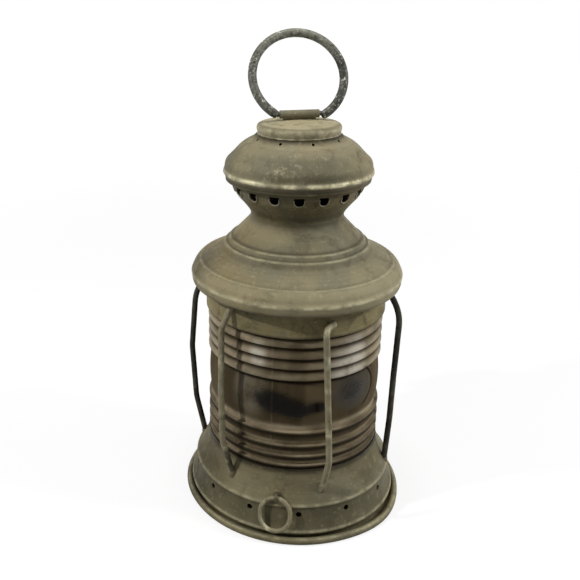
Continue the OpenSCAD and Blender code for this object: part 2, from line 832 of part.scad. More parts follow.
cap_side = [cap_r, shelf_z + cap_h - cap_edge];
cap_turn = [cap_r - cap_edge, shelf_z + cap_h];
cap_outline = concat(
    [[cap_foot_r, shelf_z], cap_side],
    bow(cap_side, [cap_r, shelf_z + cap_h], cap_turn),
    bow(cap_turn, [cap_r / 2, cap_top_z], [2 * sheet, cap_top_z]),
    [[0, cap_top_z]]
);

module cap() {
    color(shell_colour) difference() {
        shell(cap_outline);
        slab(tab_l + 2 * seam, sheet + 2 * seam, cap_top_z - through / 4, through);
    }
}

module ring_sleeve() {
    foot_top = cap_top_z - 1.7 * sheet;
    color(shell_colour) difference() {
        union() {
            translate([-sleeve_l / 2, 0, ring_axis_z]) rotate([0, 90, 0])
                cylinder(d = sleeve_d, h = sleeve_l);
            slab(tab_l, sheet, foot_top - sheet, ring_axis_z - foot_top + sheet);
            slab(tab_l, tab_foot_w, foot_top - sheet, sheet);
        }
        translate([-sleeve_l, 0, ring_axis_z]) rotate([0, 90, 0])
            cylinder(d = ring_pin_d + 2 * run_fit, h = 2 * sleeve_l);
    }
}

module ring_handle() {
    color(steel_colour) translate([0, 0, ring_axis_z]) rotate([-ring_lean, 0, 0]) union() {
        hoop([0, ring_centre_h], ring_mid_r, ring_wire_r, ring_open_a - 90, 360 - 2 * ring_open_a);
        for (s = [-1, 1]) {
            translate([s * ring_half, 0, 0]) sphere(r = knuckle_r);
            rod([s * ring_half, 0], [s * (sleeve_l / 2 - ring_pin_l), 0], ring_pin_d / 2);
        }
    }
}

// Guards
module guard(i, r = guard_d / 2) {
    color(wire_colour) facing(guard_az + (i - 1) * 360 / guard_count) wire(guard_path, guard_bend, r);
}

module guard_wires(r) {
    for (i = [1:guard_count]) guard(i, r);
}

module guard_ferrules() {
    foot = guard_path[3];
    up = unit(guard_path[2] - foot);
    color(shell_colour) difference() {
        for (i = [1:guard_count]) facing(guard_az + (i - 1) * 360 / guard_count)
            rod(foot, foot + up * ferrule_l, ferrule_d / 2);
        guard_wires(guard_d / 2 + seam);
        spun(concat([[0, 0], [lip_r, 0]], skirt_outline, [[0, skirt_z]]), $fn = fine);
    }
}

// Catch that holds the fount
module rivet_places() {
    facing(pull_az) for (s = [-1, 1])
        translate([seat_hole_r + rivet_inset, s * rivet_off, seat_z - plate]) children();
}

module catch_spring() {
    foot_z = seat_z - plate - spring_t;
    inner_r = seat_hole_r + spring_inset;
    color(steel_colour) difference() {
        facing(pull_az) {
            translate([inner_r, -spring_w / 2, foot_z])
                cube([spring_r + spring_t - inner_r, spring_w, spring_t]);
            translate([spring_r, -spring_w / 2, nose_z])
                cube([spring_t, spring_w, foot_z + spring_t - nose_z]);
            translate([hook_r + free_gap, -spring_w / 2, nose_z])
                cube([spring_r - hook_r - free_gap + eps, spring_w, nose_t]);
        }
        facing(pull_az) translate([spring_r, 0, eye_z]) rotate([0, 90, 0])
            cylinder(d = shank_d + 2 * free_gap, h = through, center = true);
        rivet_places() cylinder(d = rivet_d + 2 * seam, h = through, center = true);
    }
}

module catch_rivets() {
    color(shell_colour) rivet_places() {
        translate([0, 0, -spring_t - rivet_head_t]) cylinder(d = rivet_head_d, h = rivet_head_t);
        translate([0, 0, -spring_t - eps]) cylinder(d = rivet_d, h = spring_t + plate);
    }
}

module catch_bush() {
    inner_end = spring_r + spring_t + pull_travel - free_gap;
    outer_end = eye_r - eye_d / 2 - free_gap;
    color(shell_colour) facing(pull_az) translate([inner_end, 0, eye_z]) rotate([0, 90, 0])
        difference() {
            cylinder(d = bush_d, h = outer_end - inner_end);
            translate([0, 0, -eps]) cylinder(d = shank_d + 2 * run_fit, h = through);
        }
}

module catch_eye() {
    head_r = spring_r - free_gap - head_t;
    color(shell_colour) facing(pull_az) difference() {
        union() {
            translate([eye_r, 0, eye_z]) rotate([90, 0, 0])
                cylinder(d = eye_d, h = eye_t, center = true);
            translate([head_r, 0, eye_z]) rotate([0, 90, 0])
                cylinder(d = shank_d, h = eye_r - head_r - eye_d / 2 + eye_root);
            translate([head_r, 0, eye_z]) rotate([0, 90, 0]) cylinder(d = head_d, h = head_t);
        }
        translate([eye_r, 0, eye_z]) rotate([90, 0, 0])
            cylinder(d = eye_hole_d, h = through, center = true);
    }
}

module pull_ring() {
    straight = pull_l - pull_w;
    color(wire_colour) facing(pull_az) translate([eye_r, 0, eye_z])
        rotate([0, -pull_tilt, 0]) rotate([0, 0, 90]) {
        hoop([0, -pull_mid_r], pull_mid_r, pull_wire_d / 2, 0, 180);
        hoop([0, -pull_mid_r - straight], pull_mid_r, pull_wire_d / 2, 180, 180);
        for (s = [-1, 1])
            rod([s * pull_mid_r, -pull_mid_r - straight], [s * pull_mid_r, -pull_mid_r], pull_wire_d / 2);
    }
}

base_pan();
fount_tank();
filler_neck();
filler_cap();
thread_ring();
burner_gallery();
wick_tube();
burner_cone();
wick();
wick_spindle();
wick_knob();
base_band();
base_skirt();
lens_seat();
lower_gasket();
lens();
upper_gasket();
upper_collar();
inner_chimney();
hood();
crown_bowl();
wind_baffle();
crown();
cap();
ring_sleeve();
ring_handle();
guard(1);  // guard_1
guard(2);  // guard_2
guard(3);  // guard_3
guard(4);  // guard_4
guard(5);  // guard_5
guard(6);  // guard_6
guard_ferrules();
catch_spring();
catch_rivets();
catch_bush();
catch_eye();
pull_ring();
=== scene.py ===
"""Looks of the railway signal lamp: weathered brass, sooty ribbed glass and hand-bent guard wires
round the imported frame. Sizes in the tables are millimetres and degrees; the scene is in metres."""

import math

import bmesh
import bpy
import numpy as np
from mathutils import Matrix, Vector, noise


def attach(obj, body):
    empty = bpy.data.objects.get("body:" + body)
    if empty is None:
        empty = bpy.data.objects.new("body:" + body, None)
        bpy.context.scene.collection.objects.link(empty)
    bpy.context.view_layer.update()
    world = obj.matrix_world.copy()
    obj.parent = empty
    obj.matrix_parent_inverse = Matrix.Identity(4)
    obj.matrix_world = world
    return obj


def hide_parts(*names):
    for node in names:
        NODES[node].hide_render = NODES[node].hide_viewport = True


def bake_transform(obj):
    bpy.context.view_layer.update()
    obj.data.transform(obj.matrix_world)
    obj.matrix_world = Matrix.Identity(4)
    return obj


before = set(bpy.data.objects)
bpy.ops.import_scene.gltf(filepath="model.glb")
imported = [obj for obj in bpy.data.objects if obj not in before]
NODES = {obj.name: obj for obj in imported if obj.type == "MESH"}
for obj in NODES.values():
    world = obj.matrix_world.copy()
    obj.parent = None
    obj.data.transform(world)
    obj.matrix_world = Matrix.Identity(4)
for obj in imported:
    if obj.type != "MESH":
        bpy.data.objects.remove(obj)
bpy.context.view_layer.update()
MM = 0.001

# Thickness of the sheet, faces round a turned piece and steps in a bend
SHEET, ROUND, BEND_STEPS = 1.0, 192, 10
# Radius inside which dents fade, and depth of the bump in metres
DENT_FADE, BUMP_DEPTH = 12, 0.0004

# Camera fitted to the rims of the photograph, in millimetres, degrees and pixels
CAM_AZ, CAM_R, CAM_H = -12.6, 479.9, 339.7
CAM_YAW, CAM_PITCH, CAM_ROLL = 5.15, 18.56, -0.93
CAM_F, CAM_CX, CAM_CY, FRAME = 777.1, 200.0, 240.0, 580.0

# Sizes shared with the source of the part
LENS_R, GROOVE_R, BORE_R, BELT_SWELL = 57.3, 55.0, 47.0, 1.6
GLASS_Z, GLASS_TOP = 40.0, 140.8
VENT_AZ, VENTS, VENT_W, VENT_TALL, VENT_R, VENT_Z = -10.9, 17, 6.0, 5.4, 40.5, 215.05
AIR_AZ, AIRS, AIR_R, AIR_Z, PINS = -7.5, 13, 66.0, 18.2, 9
RING_Z, RING_LEAN, RING_CENTRE, RING_R, RING_HALF = 260.456, 28.0, 24.09, 28.7, 15.6
SLEEVE_L, PIN_ROD_R, PIN_ROD_L = 24.4, 1.5, 7.0
PULL_AZ, EYE_R, EYE_Z, PULL_TILT = -20.0, 66.8, 29.6, 16.6
PULL_R, PULL_WIRE_R, PULL_SIDE = 9.5, 1.5, 2.0
SPRING_R, SPRING_T, SPRING_W, SPRING_FOOT_R, SPRING_FOOT_Z = 56.2, 0.8, 8.0, 49.0, 37.0
NOSE_R, NOSE_Z, NOSE_T, SHANK_HOLE = 54.35, 7.85, 1.0, 3.3
WICK_W, WICK_T, WICK_LOW, WICK_HIGH = 15.0, 2.6, 8.1, 77.8

# Ribs and holes as the photograph shows them, where they differ from the source
LOWER_TIPS, UPPER_TIPS = (48.0, 54.7, 62.0, 71.6), (107.6, 115.0, 122.0, 129.5)
RIBS_LOW, RIBS_HIGH = 41.4, 136.6
AIR_D, PIN_AZ, PIN_D, PIN_R, PIN_Z, PIN_TURN = 3.7, 5.0, 2.1, 28.1, 246.8, 35.0

# Ring as it was bent by hand: bar, shift to the right, turn of its ends, and ends of its pins
RING_BAR, RING_SHIFT, RING_END_R, RING_END_L = 2.78, 1.2, 6.0, 1.2
RING_BLUNT, PIN_FAR_R, PIN_FAR_L = [2.3, 2.6], 14.0, 15.6

# Lips of the vents: wire, gap to the wall, gap at the sides, height of their ends, and growth
LIP_R, LIP_GAP, LIP_SIDE, LIP_END, LIP_GROW = 0.45, 0.1, 0.15, 1.5, 1.05

# Guards: wire, bends, the two dark ones at the sides, and the one whose foot is darkened by painted
# shade and oily dirt
GUARD_R, GUARD_BEND, SIDE_BEND, SIDE_GUARDS, SHADED_FOOT_GUARD = 2.0, 9, 34, (2, 5), 6
# Darkening of that foot, painted shade and oily dirt: its top and the length of its fade in metres,
# and its strength
FOOT_SHADE_TOP, FOOT_SHADE_FADE, FOOT_SHADE_STRENGTH = 0.064, 0.02, 0.8
# Ferrules from the foot up, one radius for each step in metres, and the solder on the collar
FERRULE_RADII, FERRULE_STEP = [2.6] * 8 + [2.55, 2.5, 2.4, 2.25, 2.05], 0.00035
SOLDER_AT, SOLDER_RADII = 58.6, (1.6, 3.4, 3.0)

# Weave of the wick: rows, points round it, depth of a thread and depth of the burnt edge
ROWS, AROUND, WEAVE, BURNT = 140, 72, 0.12, 0.8

# Radius of the bends in the catch spring
SPRING_BEND = 1.0

# Lengths of the cutters for vents, small holes, air holes and the hole for the shank
VENT_CUT, PIN_CUT, AIR_CUT, SHANK_CUT = 16, 6, 10, 10


# Points and outlines
def at(az, r, z):
    """Point in metres at azimuth az from the front, radius r and height z."""
    a = math.radians(az)
    return Vector((r * math.sin(a), -r * math.cos(a), z)) * MM


def bow(a, b, c, steps=10):
    """Points of a curve from a to c that is drawn towards b, without a itself."""
    out = []
    for i in range(1, steps + 1):
        t = i / steps
        wa, wb, wc = (1 - t) ** 2, 2 * t * (1 - t), t * t
        out.append(tuple(wa * p + wb * q + wc * s for p, q, s in zip(a, b, c)))
    return out


def arc(c, r, start, end, steps=10):
    """Points on a circle from one angle to another, in degrees."""
    out = []
    for i in range(steps + 1):
        a = math.radians(start + (end - start) * i / steps)
        out.append((c[0] + r * math.cos(a), c[1] + r * math.sin(a)))
    return out


def inner(points, t):
    """The same line moved t to its left."""
    p = [Vector(q) for q in points]
    out = []
    for i in range(len(p)):
        d0 = (p[max(i, 1)] - p[max(i, 1) - 1]).normalized()
        d1 = (p[min(i + 1, len(p) - 1)] - p[min(i + 1, len(p) - 1) - 1]).normalized()
        n = Vector((-d0.y - d1.y, d0.x + d1.x))
        out.append(tuple(p[i] + n * (2 * t / max(n.length_squared, 0.6))))
    return out


def fine(points, step):
    """The same line with no leg longer than a step."""
    out = [points[0]]
    for a, b in zip(points, points[1:]):
        n = max(1, int(math.ceil(math.dist(a, b) / step)))
        out += [tuple(u + (v - u) * i / n for u, v in zip(a, b)) for i in range(1, n + 1)]
    return out


def soft(points, step=0.7, rounds=3):
    """Resampled line with its corners rounded as pressed sheet has them."""
    p = [Vector(q) for q in fine(points, step)]
    for _ in range(rounds):
        p = [p[0]] + [(a + 2 * b + c) / 4 for a, b, c in zip(p, p[1:], p[2:])] + [p[-1]]
    return [tuple(q) for q in p]


def bent(points, bend, step=1.5):
    """Path through points in metres with its corners turned at a radius of bend millimetres."""
    out = [points[0]]
    for a, b, c in zip(points, points[1:], points[2:]):
        u, v = (a - b).normalized(), (c - b).normalized()
        half = max(0.02, math.pi - u.angle(v)) / 2
        reach = min(bend * MM * math.tan(half), (a - b).length * 0.48, (c - b).length * 0.48)
        p, q = b + u * reach, b + v * reach
        for i in range(BEND_STEPS + 1):
            t = i / BEND_STEPS
            out.append(p * (1 - t) ** 2 + b * (2 * t * (1 - t)) + q * t * t)
    out.append(points[-1])
    path = [out[0]]
    for a, b in zip(out, out[1:]):
        n = max(1, int(math.ceil((b - a).length / (step * MM))))
        path += [a.lerp(b, i / n) for i in range(1, n + 1) if (b - a).length > 1e-6]
    return path


# Meshes
def new_object(name, verts, faces, smooth_angle=40):
    mesh = bpy.data.meshes.new(name)
    mesh.from_pydata([tuple(v) for v in verts], [], faces)
    mesh.update()
    obj = bpy.data.objects.new(name, mesh)
    bpy.context.scene.collection.objects.link(obj)
    shade(obj, smooth_angle)
    return obj


def shade(obj, angle):
    bpy.context.view_layer.objects.active = obj
    for o in bpy.context.selected_objects:
        o.select_set(False)
    obj.select_set(True)
    bpy.ops.object.shade_smooth_by_angle(angle=math.radians(angle))
    obj.select_set(False)


def apply_modifiers(obj):
    bpy.context.view_layer.objects.active = obj
    for m in list(obj.modifiers):
        with bpy.context.temp_override(object=obj, active_object=obj):
            bpy.ops.object.modifier_apply(modifier=m.name)


def set_attribute(obj, name, values):
    attribute = obj.data.attributes.new(name, "FLOAT", "POINT")
    attribute.data.foreach_set("value", np.asarray(values, np.float32))


def tidy_mesh(obj, angle):
    """Welds doubled points and turns the faces outward."""
    bm = bmesh.new()
    bm.from_mesh(obj.data)
    bmesh.ops.remove_doubles(bm, verts=bm.verts, dist=1e-6)
    bmesh.ops.recalc_face_normals(bm, faces=bm.faces)
    bm.to_mesh(obj.data)
    bm.free()
    shade(obj, angle)


def dents(seed, amount, size, spots=()):
    """How far the sheet is pushed in at a point, in millimetres: a slow swell and single knocks."""
    off = Vector((seed * 3.7, seed * 1.3, seed * 2.1))

    def depth(p):
        d = amount * (0.5 + 0.5 * noise.noise(p / size + off))
        for (az, r, z), reach, deep in spots:
            d += deep * math.exp(-(p - at(az, r, z) / MM).length_squared / reach ** 2)
        return d

    return depth


def marked(loop, marks):
    """Strength of marks (radius, height, reach, strength) at each point of an outline."""
    out = []
    for r, z in loop:
        v = sum(k * math.exp(-((r - a) ** 2 + (z - b) ** 2) / w ** 2) for a, b, w, k in marks)
        out.append(min(1.0, v))
    return out


def lathe(name, loop, depth=None, wear_and_highlight=(), grime_and_shade=(), groove_shadow=(), segs=ROUND, angle=40):
    """Closed outline turned round the axis, with rings of wear and painted highlight, rings of dirt
    and painted shade, and painted shadow lines kept as attributes.
    """
    n = len(loop)
    verts = []
    for k in range(segs):
        a = 2 * math.pi * k / segs
        s, c = math.sin(a), -math.cos(a)
        for r, z in loop:
            push = 0
            if depth and r > 1:
                push = depth(Vector((r * s, r * c, z))) * min(1, r / DENT_FADE)
            verts.append(Vector(((r - push) * s, (r - push) * c, z)) * MM)
    faces = []
    for k in range(segs):
        j = (k + 1) % segs
        for i in range(n):
            m = (i + 1) % n
            if loop[i][0] > 1e-6 or loop[m][0] > 1e-6:
                faces.append((k * n + i, j * n + i, j * n + m, k * n + m))
    obj = new_object(name, verts, faces, angle)
    set_attribute(obj, "wear_and_highlight", marked(loop, wear_and_highlight) * segs)
    set_attribute(obj, "grime_and_shade", marked(loop, grime_and_shade) * segs)
    set_attribute(obj, "groove_shadow", marked(loop, groove_shadow) * segs)
    tidy_mesh(obj, angle)
    return obj


def sideways(path, closed):
    """Two directions across a path at each point, without twist."""
    n = len(path)
    if closed:
        centre = sum(path, Vector()) / n
        normal = (path[0] - centre).cross(path[n // 4] - centre).normalized()
        return [((p - centre).normalized(), normal) for p in path]
    along = [(path[min(i + 1, n - 1)] - path[max(i - 1, 0)]).normalized() for i in range(n)]
    up = Vector((0, 0, 1)) if abs(along[0].z) < 0.9 else Vector((0, 1, 0))
    u = along[0].cross(up).normalized()
    out = []
    for t in along:
        u = (u - t * u.dot(t)).normalized()
        out.append((u, t.cross(u).normalized()))
    return out


def tube(name, path, radius, sides=18, closed=False, rough=0.0, grain=3.0, seed=0):
    """Round bar along a path in metres; radius in millimetres, one number or one for each point."""
    radii = radius if isinstance(radius, list) else [radius] * len(path)
    n = len(path)
    verts, worn_and_lit = [], []
    off = Vector((seed * 5.1, seed * 2.7, seed * 1.9))
    for p, (u, v), r in zip(path, sideways(path, closed), radii):
        for k in range(sides):
            a = 2 * math.pi * k / sides
            d = u * math.cos(a) + v * math.sin(a)
            q = (p + d * r * MM) / MM
            push = rough * (0.5 + 0.5 * noise.noise(q / grain + off))
            verts.append(p + d * (r - push) * MM)
            worn_and_lit.append(max(0.0, noise.noise(q / (grain * 2) + off * 2)))
    faces = []
    for i in range(n if closed else n - 1):
        j = (i + 1) % n
        for k in range(sides):
            m = (k + 1) % sides
            faces.append((i * sides + k, i * sides + m, j * sides + m, j * sides + k))
    if not closed:
        faces.append(tuple(range(sides))[::-1])
        faces.append(tuple((n - 1) * sides + k for k in range(sides)))
    obj = new_object(name, verts, faces, 50)
    set_attribute(obj, "wear_and_highlight", worn_and_lit)
    set_attribute(obj, "grime_and_shade", [0.0] * len(worn_and_lit))
    return obj


def foot_dirt_and_shade(obj, strength):
    """Darkens the lower end of a guard: painted shade, with some oily dirt."""
    values = [strength * min(1.0, max(0.0, (FOOT_SHADE_TOP - v.co.z) / FOOT_SHADE_FADE))
              for v in obj.data.vertices]
    obj.data.attributes["grime_and_shade"].data.foreach_set("value", values)


def joined(name, objects):
    """One object made of several, keeping their attributes."""
    for o in bpy.context.selected_objects:
        o.select_set(False)
    for o in objects:
        o.select_set(True)
    bpy.context.view_layer.objects.active = objects[0]
    bpy.ops.object.join()
    objects[0].name = name
    objects[0].data.name = name
    objects[0].select_set(False)
    return objects[0]


def cut(obj, cutter, angle=30):
    """Takes a cutter out of a piece."""
    m = obj.modifiers.new("cut", "BOOLEAN")
    m.object = cutter
    m.operation = "DIFFERENCE"
    m.solver = "EXACT"
    apply_modifiers(obj)
    bpy.data.objects.remove(cutter)
    shade(obj, angle)


def outward(az, r, z):
    """Matrix whose X points outward at an azimuth, Y sideways and Z up, in metres."""
    a = math.radians(az)
    x = Vector((math.sin(a), -math.cos(a), 0))
    y = Vector((math.cos(a), math.sin(a), 0))
    m = Matrix((x, y, Vector((0, 0, 1)))).transposed().to_4x4()
    m.translation = at(az, r, z)
    return m


def bars(outline, deep, places):
    """Bars with one flat outline, laid along the X of each matrix."""
    n = len(outline)
    verts, faces = [], []
    for place in places:
        base = len(verts)
        for x in (-deep / 2, deep / 2):
            verts += [place @ (Vector((x, u, v)) * MM) for u, v in outline]
        faces += [tuple(base + i for i in range(n))[::-1], tuple(base + n + i for i in range(n))]
        for i in range(n):
            j = (i + 1) % n
            faces.append((base + i, base + j, base + n + j, base + n + i))
    return new_object("bars", verts, faces)


def circle(r, steps=24):
    return arc((0, 0), r, 0, 360 - 360 / steps, steps - 1)


def round_places(az, count, r, z):
    """Matrices at even turns round the axis, the first at an azimuth."""
    return [outward(az + i * 360 / count, r, z) for i in range(count)]


def mound(name, place, radii, seed, rough=0.25):
    """Lump of solder in the axes of a matrix, with its radii in millimetres."""
    bm = bmesh.new()
    bmesh.ops.create_icosphere(bm, subdivisions=4, radius=1.0)
    off = Vector((seed * 1.7, seed * 0.9, seed * 2.3))
    for v in bm.verts:
        v.co *= 1 - rough * (0.5 + 0.5 * noise.noise(v.co * 1.6 + off))
        v.co = place @ Vector([c * r * MM for c, r in zip(v.co, radii)])
    mesh = bpy.data.meshes.new(name)
    bm.to_mesh(mesh)
    bm.free()
    obj = bpy.data.objects.new(name, mesh)
    bpy.context.scene.collection.objects.link(obj)
    set_attribute(obj, "wear_and_highlight", [0.3] * len(mesh.vertices))
    set_attribute(obj, "grime_and_shade", [0.0] * len(mesh.vertices))
    shade(obj, 60)
    return obj


# Materials
class Shader:
    """Node material with short calls for the nodes used here."""

    def __init__(self, name):
        self.mat = bpy.data.materials.new(name)
        self.mat.use_nodes = True
        self.tree = self.mat.node_tree
        self.bsdf = self.tree.nodes["Principled BSDF"]
        self.coords = self.node("TexCoord").outputs["Object"]

    def node(self, kind):
        return self.tree.nodes.new("ShaderNode" + kind)

    def put(self, socket, value):
        if isinstance(value, bpy.types.NodeSocket):
            self.tree.links.new(value, socket)
        else:
            socket.default_value = value

    def noise(self, scale, detail=4.0, rough=0.55, distort=0.0, vector=None):
        n = self.node("TexNoise")
        keys = ("Scale", "Detail", "Roughness", "Distortion")
        for key, v in zip(keys, (scale, detail, rough, distort)):
            n.inputs[key].default_value = v
        self.put(n.inputs["Vector"], vector or self.coords)
        return n.outputs["Fac"]

    def mapped(self, scale):
        m = self.node("Mapping")
        m.inputs["Scale"].default_value = scale
        self.put(m.inputs["Vector"], self.coords)
        return m.outputs["Vector"]

    def ramp(self, value, low, high, bottom=0.0, top=1.0):
        n = self.node("MapRange")
        n.interpolation_type = "SMOOTHSTEP"
        self.put(n.inputs["Value"], value)
        for key, v in zip(("From Min", "From Max", "To Min", "To Max"), (low, high, bottom, top)):
            n.inputs[key].default_value = v
        return n.outputs["Result"]

    def math(self, kind, a, b=0.0, c=None):
        n = self.node("Math")
        n.operation = kind
        for socket, value in zip(n.inputs, (a, b, c)):
            if value is not None:
                self.put(socket, value)
        return n.outputs["Value"]

    def times(self, a, b):
        return self.math("MULTIPLY", a, b)

    def mix(self, fac, a, b):
        n = self.node("Mix")
        n.data_type = "RGBA"
        for i, value in zip((0, 6, 7), (fac, a, b)):
            self.put(n.inputs[i], value)
        return n.outputs[2]

    def attribute(self, name):
        n = self.node("Attribute")
        n.attribute_name = name
        return n.outputs["Fac"]

    def split(self):
        n = self.node("SeparateXYZ")
        self.put(n.inputs[0], self.coords)
        return n.outputs

    def turned(self):
        """Radius and height as a vector, for marks that run round the axis."""
        x, y, z = self.split()
        r = self.math("SQRT", self.math("MULTIPLY_ADD", y, y, self.times(x, x)))
        n = self.node("CombineXYZ")
        self.put(n.inputs[0], r)
        self.put(n.inputs[2], z)
        return n.outputs[0]

    def spot(self, place, reach, stretch=(1, 1, 1)):
        """1 near a point, fading to 0 at a reach in metres."""
        n = self.node("VectorMath")
        n.operation = "DISTANCE"
        self.put(n.inputs[0], self.mapped(stretch))
        n.inputs[1].default_value = [a * b for a, b in zip(place, stretch)]
        return self.ramp(n.outputs["Value"], reach, reach * 0.2)

    def bump(self, height, strength, distance):
        n = self.node("Bump")
        n.inputs["Strength"].default_value = strength
        n.inputs["Distance"].default_value = distance
        self.put(n.inputs["Height"], height)
        self.put(self.bsdf.inputs["Normal"], n.outputs["Normal"])

    def set(self, **sockets):
        for key, value in sockets.items():
            self.put(self.bsdf.inputs[key.replace("_", " ")], value)


def rgb(r, g, b):
    """Colour written in the 0 to 255 display scale."""
    lin = [v / 255 / 12.92 if v <= 10.3 else ((v / 255 + 0.055) / 1.055) ** 2.4 for v in (r, g, b)]
    return (*lin, 1.0)


OLIVE, TAN, DARK, PALE = rgb(132, 125, 99), rgb(147, 137, 107), rgb(72, 66, 48), rgb(200, 193, 160)
GREY, SHADE = rgb(112, 114, 98), rgb(80, 75, 57)


def patina(name, base=OLIVE, warm=TAN, dark=DARK, pale=PALE, metal=0.06, gloss=0.55,
           fleck=0.35, stain=0.45, layers=None):
    """Weathered metal: slow colour changes, dark stains, pale bloom, specks, spun lines, worn rings
    that are partly painted highlights, and dark rings of dirt and painted shade. The layers of one
    piece lie under the stains."""
    s = Shader(name)
    colour = s.mix(s.ramp(s.noise(26, 3, 0.6), 0.38, 0.66), base, warm)
    dull = s.ramp(s.noise(17, 4, 0.6, 0.5, s.mapped((1, 1, 1.6))), 0.46, 0.64, 0, 0.4)
    colour = s.mix(dull, colour, GREY)
    if layers:
        colour = layers(s, colour)
    blotch = s.noise(80, 5, 0.65, 0.6)
    colour = s.mix(s.ramp(blotch, 0.5, 0.74, 0, stain), colour, dark)
    haze = s.noise(210, 4, 0.7)
    colour = s.mix(s.ramp(haze, 0.54, 0.76, 0, 0.3), colour, pale)
    lines = s.noise(520, 3, 0.6, vector=s.turned())
    colour = s.mix(s.ramp(lines, 0.45, 0.7, 0, 0.16), colour, dark)
    colour = s.mix(s.ramp(s.noise(1000, 2, 0.5), 0.66, 0.72, 0, fleck), colour, pale)
    pits = s.noise(640, 3, 0.6)
    colour = s.mix(s.ramp(pits, 0.64, 0.75, 0, 0.5), colour, dark)
    # Dark rings kept on the mesh: dirt and soot, and painted shade in creases, under rims and
    # between parts
    dirt_and_shade = s.times(s.attribute("grime_and_shade"), s.ramp(s.noise(120, 4, 0.6), 0.3, 0.5, 0.55, 1))
    colour = s.mix(dirt_and_shade, colour, dark)
    # Pale rings kept on the mesh: wear, and painted highlights on crests, beads and edges
    worn_and_lit = s.times(s.attribute("wear_and_highlight"), s.ramp(s.noise(130, 5, 0.65), 0.38, 0.62, 0.3, 1))
    colour = s.mix(worn_and_lit, colour, pale)
    rough = s.math("MULTIPLY_ADD", worn_and_lit, -0.15, s.ramp(blotch, 0.3, 0.75, gloss, gloss + 0.2))
    s.set(Base_Color=colour, Roughness=rough, Metallic=s.math("MULTIPLY_ADD", worn_and_lit, 0.6, metal),
          Specular_IOR_Level=0.2)
    marks = s.math("MULTIPLY_ADD", pits, 0.4, s.times(lines, 0.25))
    s.bump(s.math("ADD", s.times(haze, 0.6), marks), 0.35, BUMP_DEPTH)
    return s.mat


def cloudy_shade(s, place, reach, low, high):
    """Cloudy painted shade round a point, between two strengths."""
    return s.times(s.spot(place, reach), s.ramp(s.noise(50, 4, 0.6), 0.3, 0.6, low, high))


def hood_layers(s, colour):
    """Warm brass coming through on the left, dust on the cone's left side that is partly painted
    light, a paler rim that is painted light, and painted shade at the far left.
    """
    x, _, z = s.split()
    left = s.times(s.ramp(x, -0.012, -0.05), s.ramp(s.noise(60, 4, 0.6), 0.35, 0.65, 0.2, 0.9))
    colour = s.mix(left, colour, rgb(138, 123, 86))
    # Dust on the left of the cone, partly painted light
    dust = s.times(s.ramp(z, 0.183, 0.19, 0, 0.75), s.ramp(x, -0.002, -0.018))
    colour = s.mix(dust, colour, rgb(166, 155, 120))
    # Painted light: the rim and flange paler
    colour = s.mix(s.ramp(z, 0.1692, 0.1655, 0, 0.45), colour, rgb(174, 163, 128))
    # Painted shade at the far left
    return s.mix(cloudy_shade(s, at(-92, 66, 164), 0.034, 0.6, 0.85), colour, SHADE)


def crown_layers(s, colour):
    """Dust on the dome that makes it lighter towards its top, partly painted light; a brown stain in
    front, partly painted shade; painted shade at the far left; scuffs left and in front.
    """
    # Dust on the dome, partly painted light: lighter towards the top
    colour = s.mix(s.ramp(s.split()[2], 0.236, 0.246, 0, 0.35), colour, rgb(166, 155, 124))
    # Brown stain in front, partly painted shade
    cloud_and_shade = s.spot(at(-6, 46.5, 228.5), 0.034, (1, 1, 1.8))
    cloud_and_shade = s.times(cloud_and_shade, s.ramp(s.noise(42, 4, 0.6), 0.3, 0.6, 0.4, 0.7))
    colour = s.mix(cloud_and_shade, colour, rgb(82, 77, 59))
    # Painted shade at the far left
    colour = s.mix(cloudy_shade(s, at(-96, 46, 229), 0.024, 0.5, 0.8), colour, SHADE)
    scuff = s.ramp(s.noise(170, 5, 0.7), 0.5, 0.68, 0, 0.38)
    scuffs = ((at(-60, 43, 237), 0.012), (at(-22, 42, 238), 0.02), (at(-35, 46, 230), 0.012))
    for place, reach in scuffs:
        colour = s.mix(s.times(scuff, s.spot(place, reach)), colour, PALE)
    return colour


def cap_layers(s, colour):
    """Pale metal with dark patches on its side, flecks at its lower edge and dust on its flat."""
    z = s.split()[2]
    colour = s.mix(s.ramp(z, 0.2485, 0.2500, 0, 0.7), colour, rgb(178, 168, 136))
    patches = s.times(s.ramp(s.noise(75, 5, 0.65), 0.46, 0.6, 0, 0.6), s.ramp(z, 0.2553, 0.254))
    colour = s.mix(patches, colour, rgb(96, 88, 66))
    flecks = s.times(s.ramp(s.noise(330, 3, 0.6), 0.56, 0.64, 0, 0.8), s.ramp(z, 0.251, 0.2495))
    colour = s.mix(flecks, colour, rgb(206, 200, 176))
    cloudy = s.ramp(s.noise(90, 4, 0.6), 0.3, 0.6, 0.4, 1)
    dust = s.times(s.ramp(z, 0.2543, 0.2562, 0, 0.75), cloudy)
    return s.mix(dust, colour, rgb(176, 166, 130))


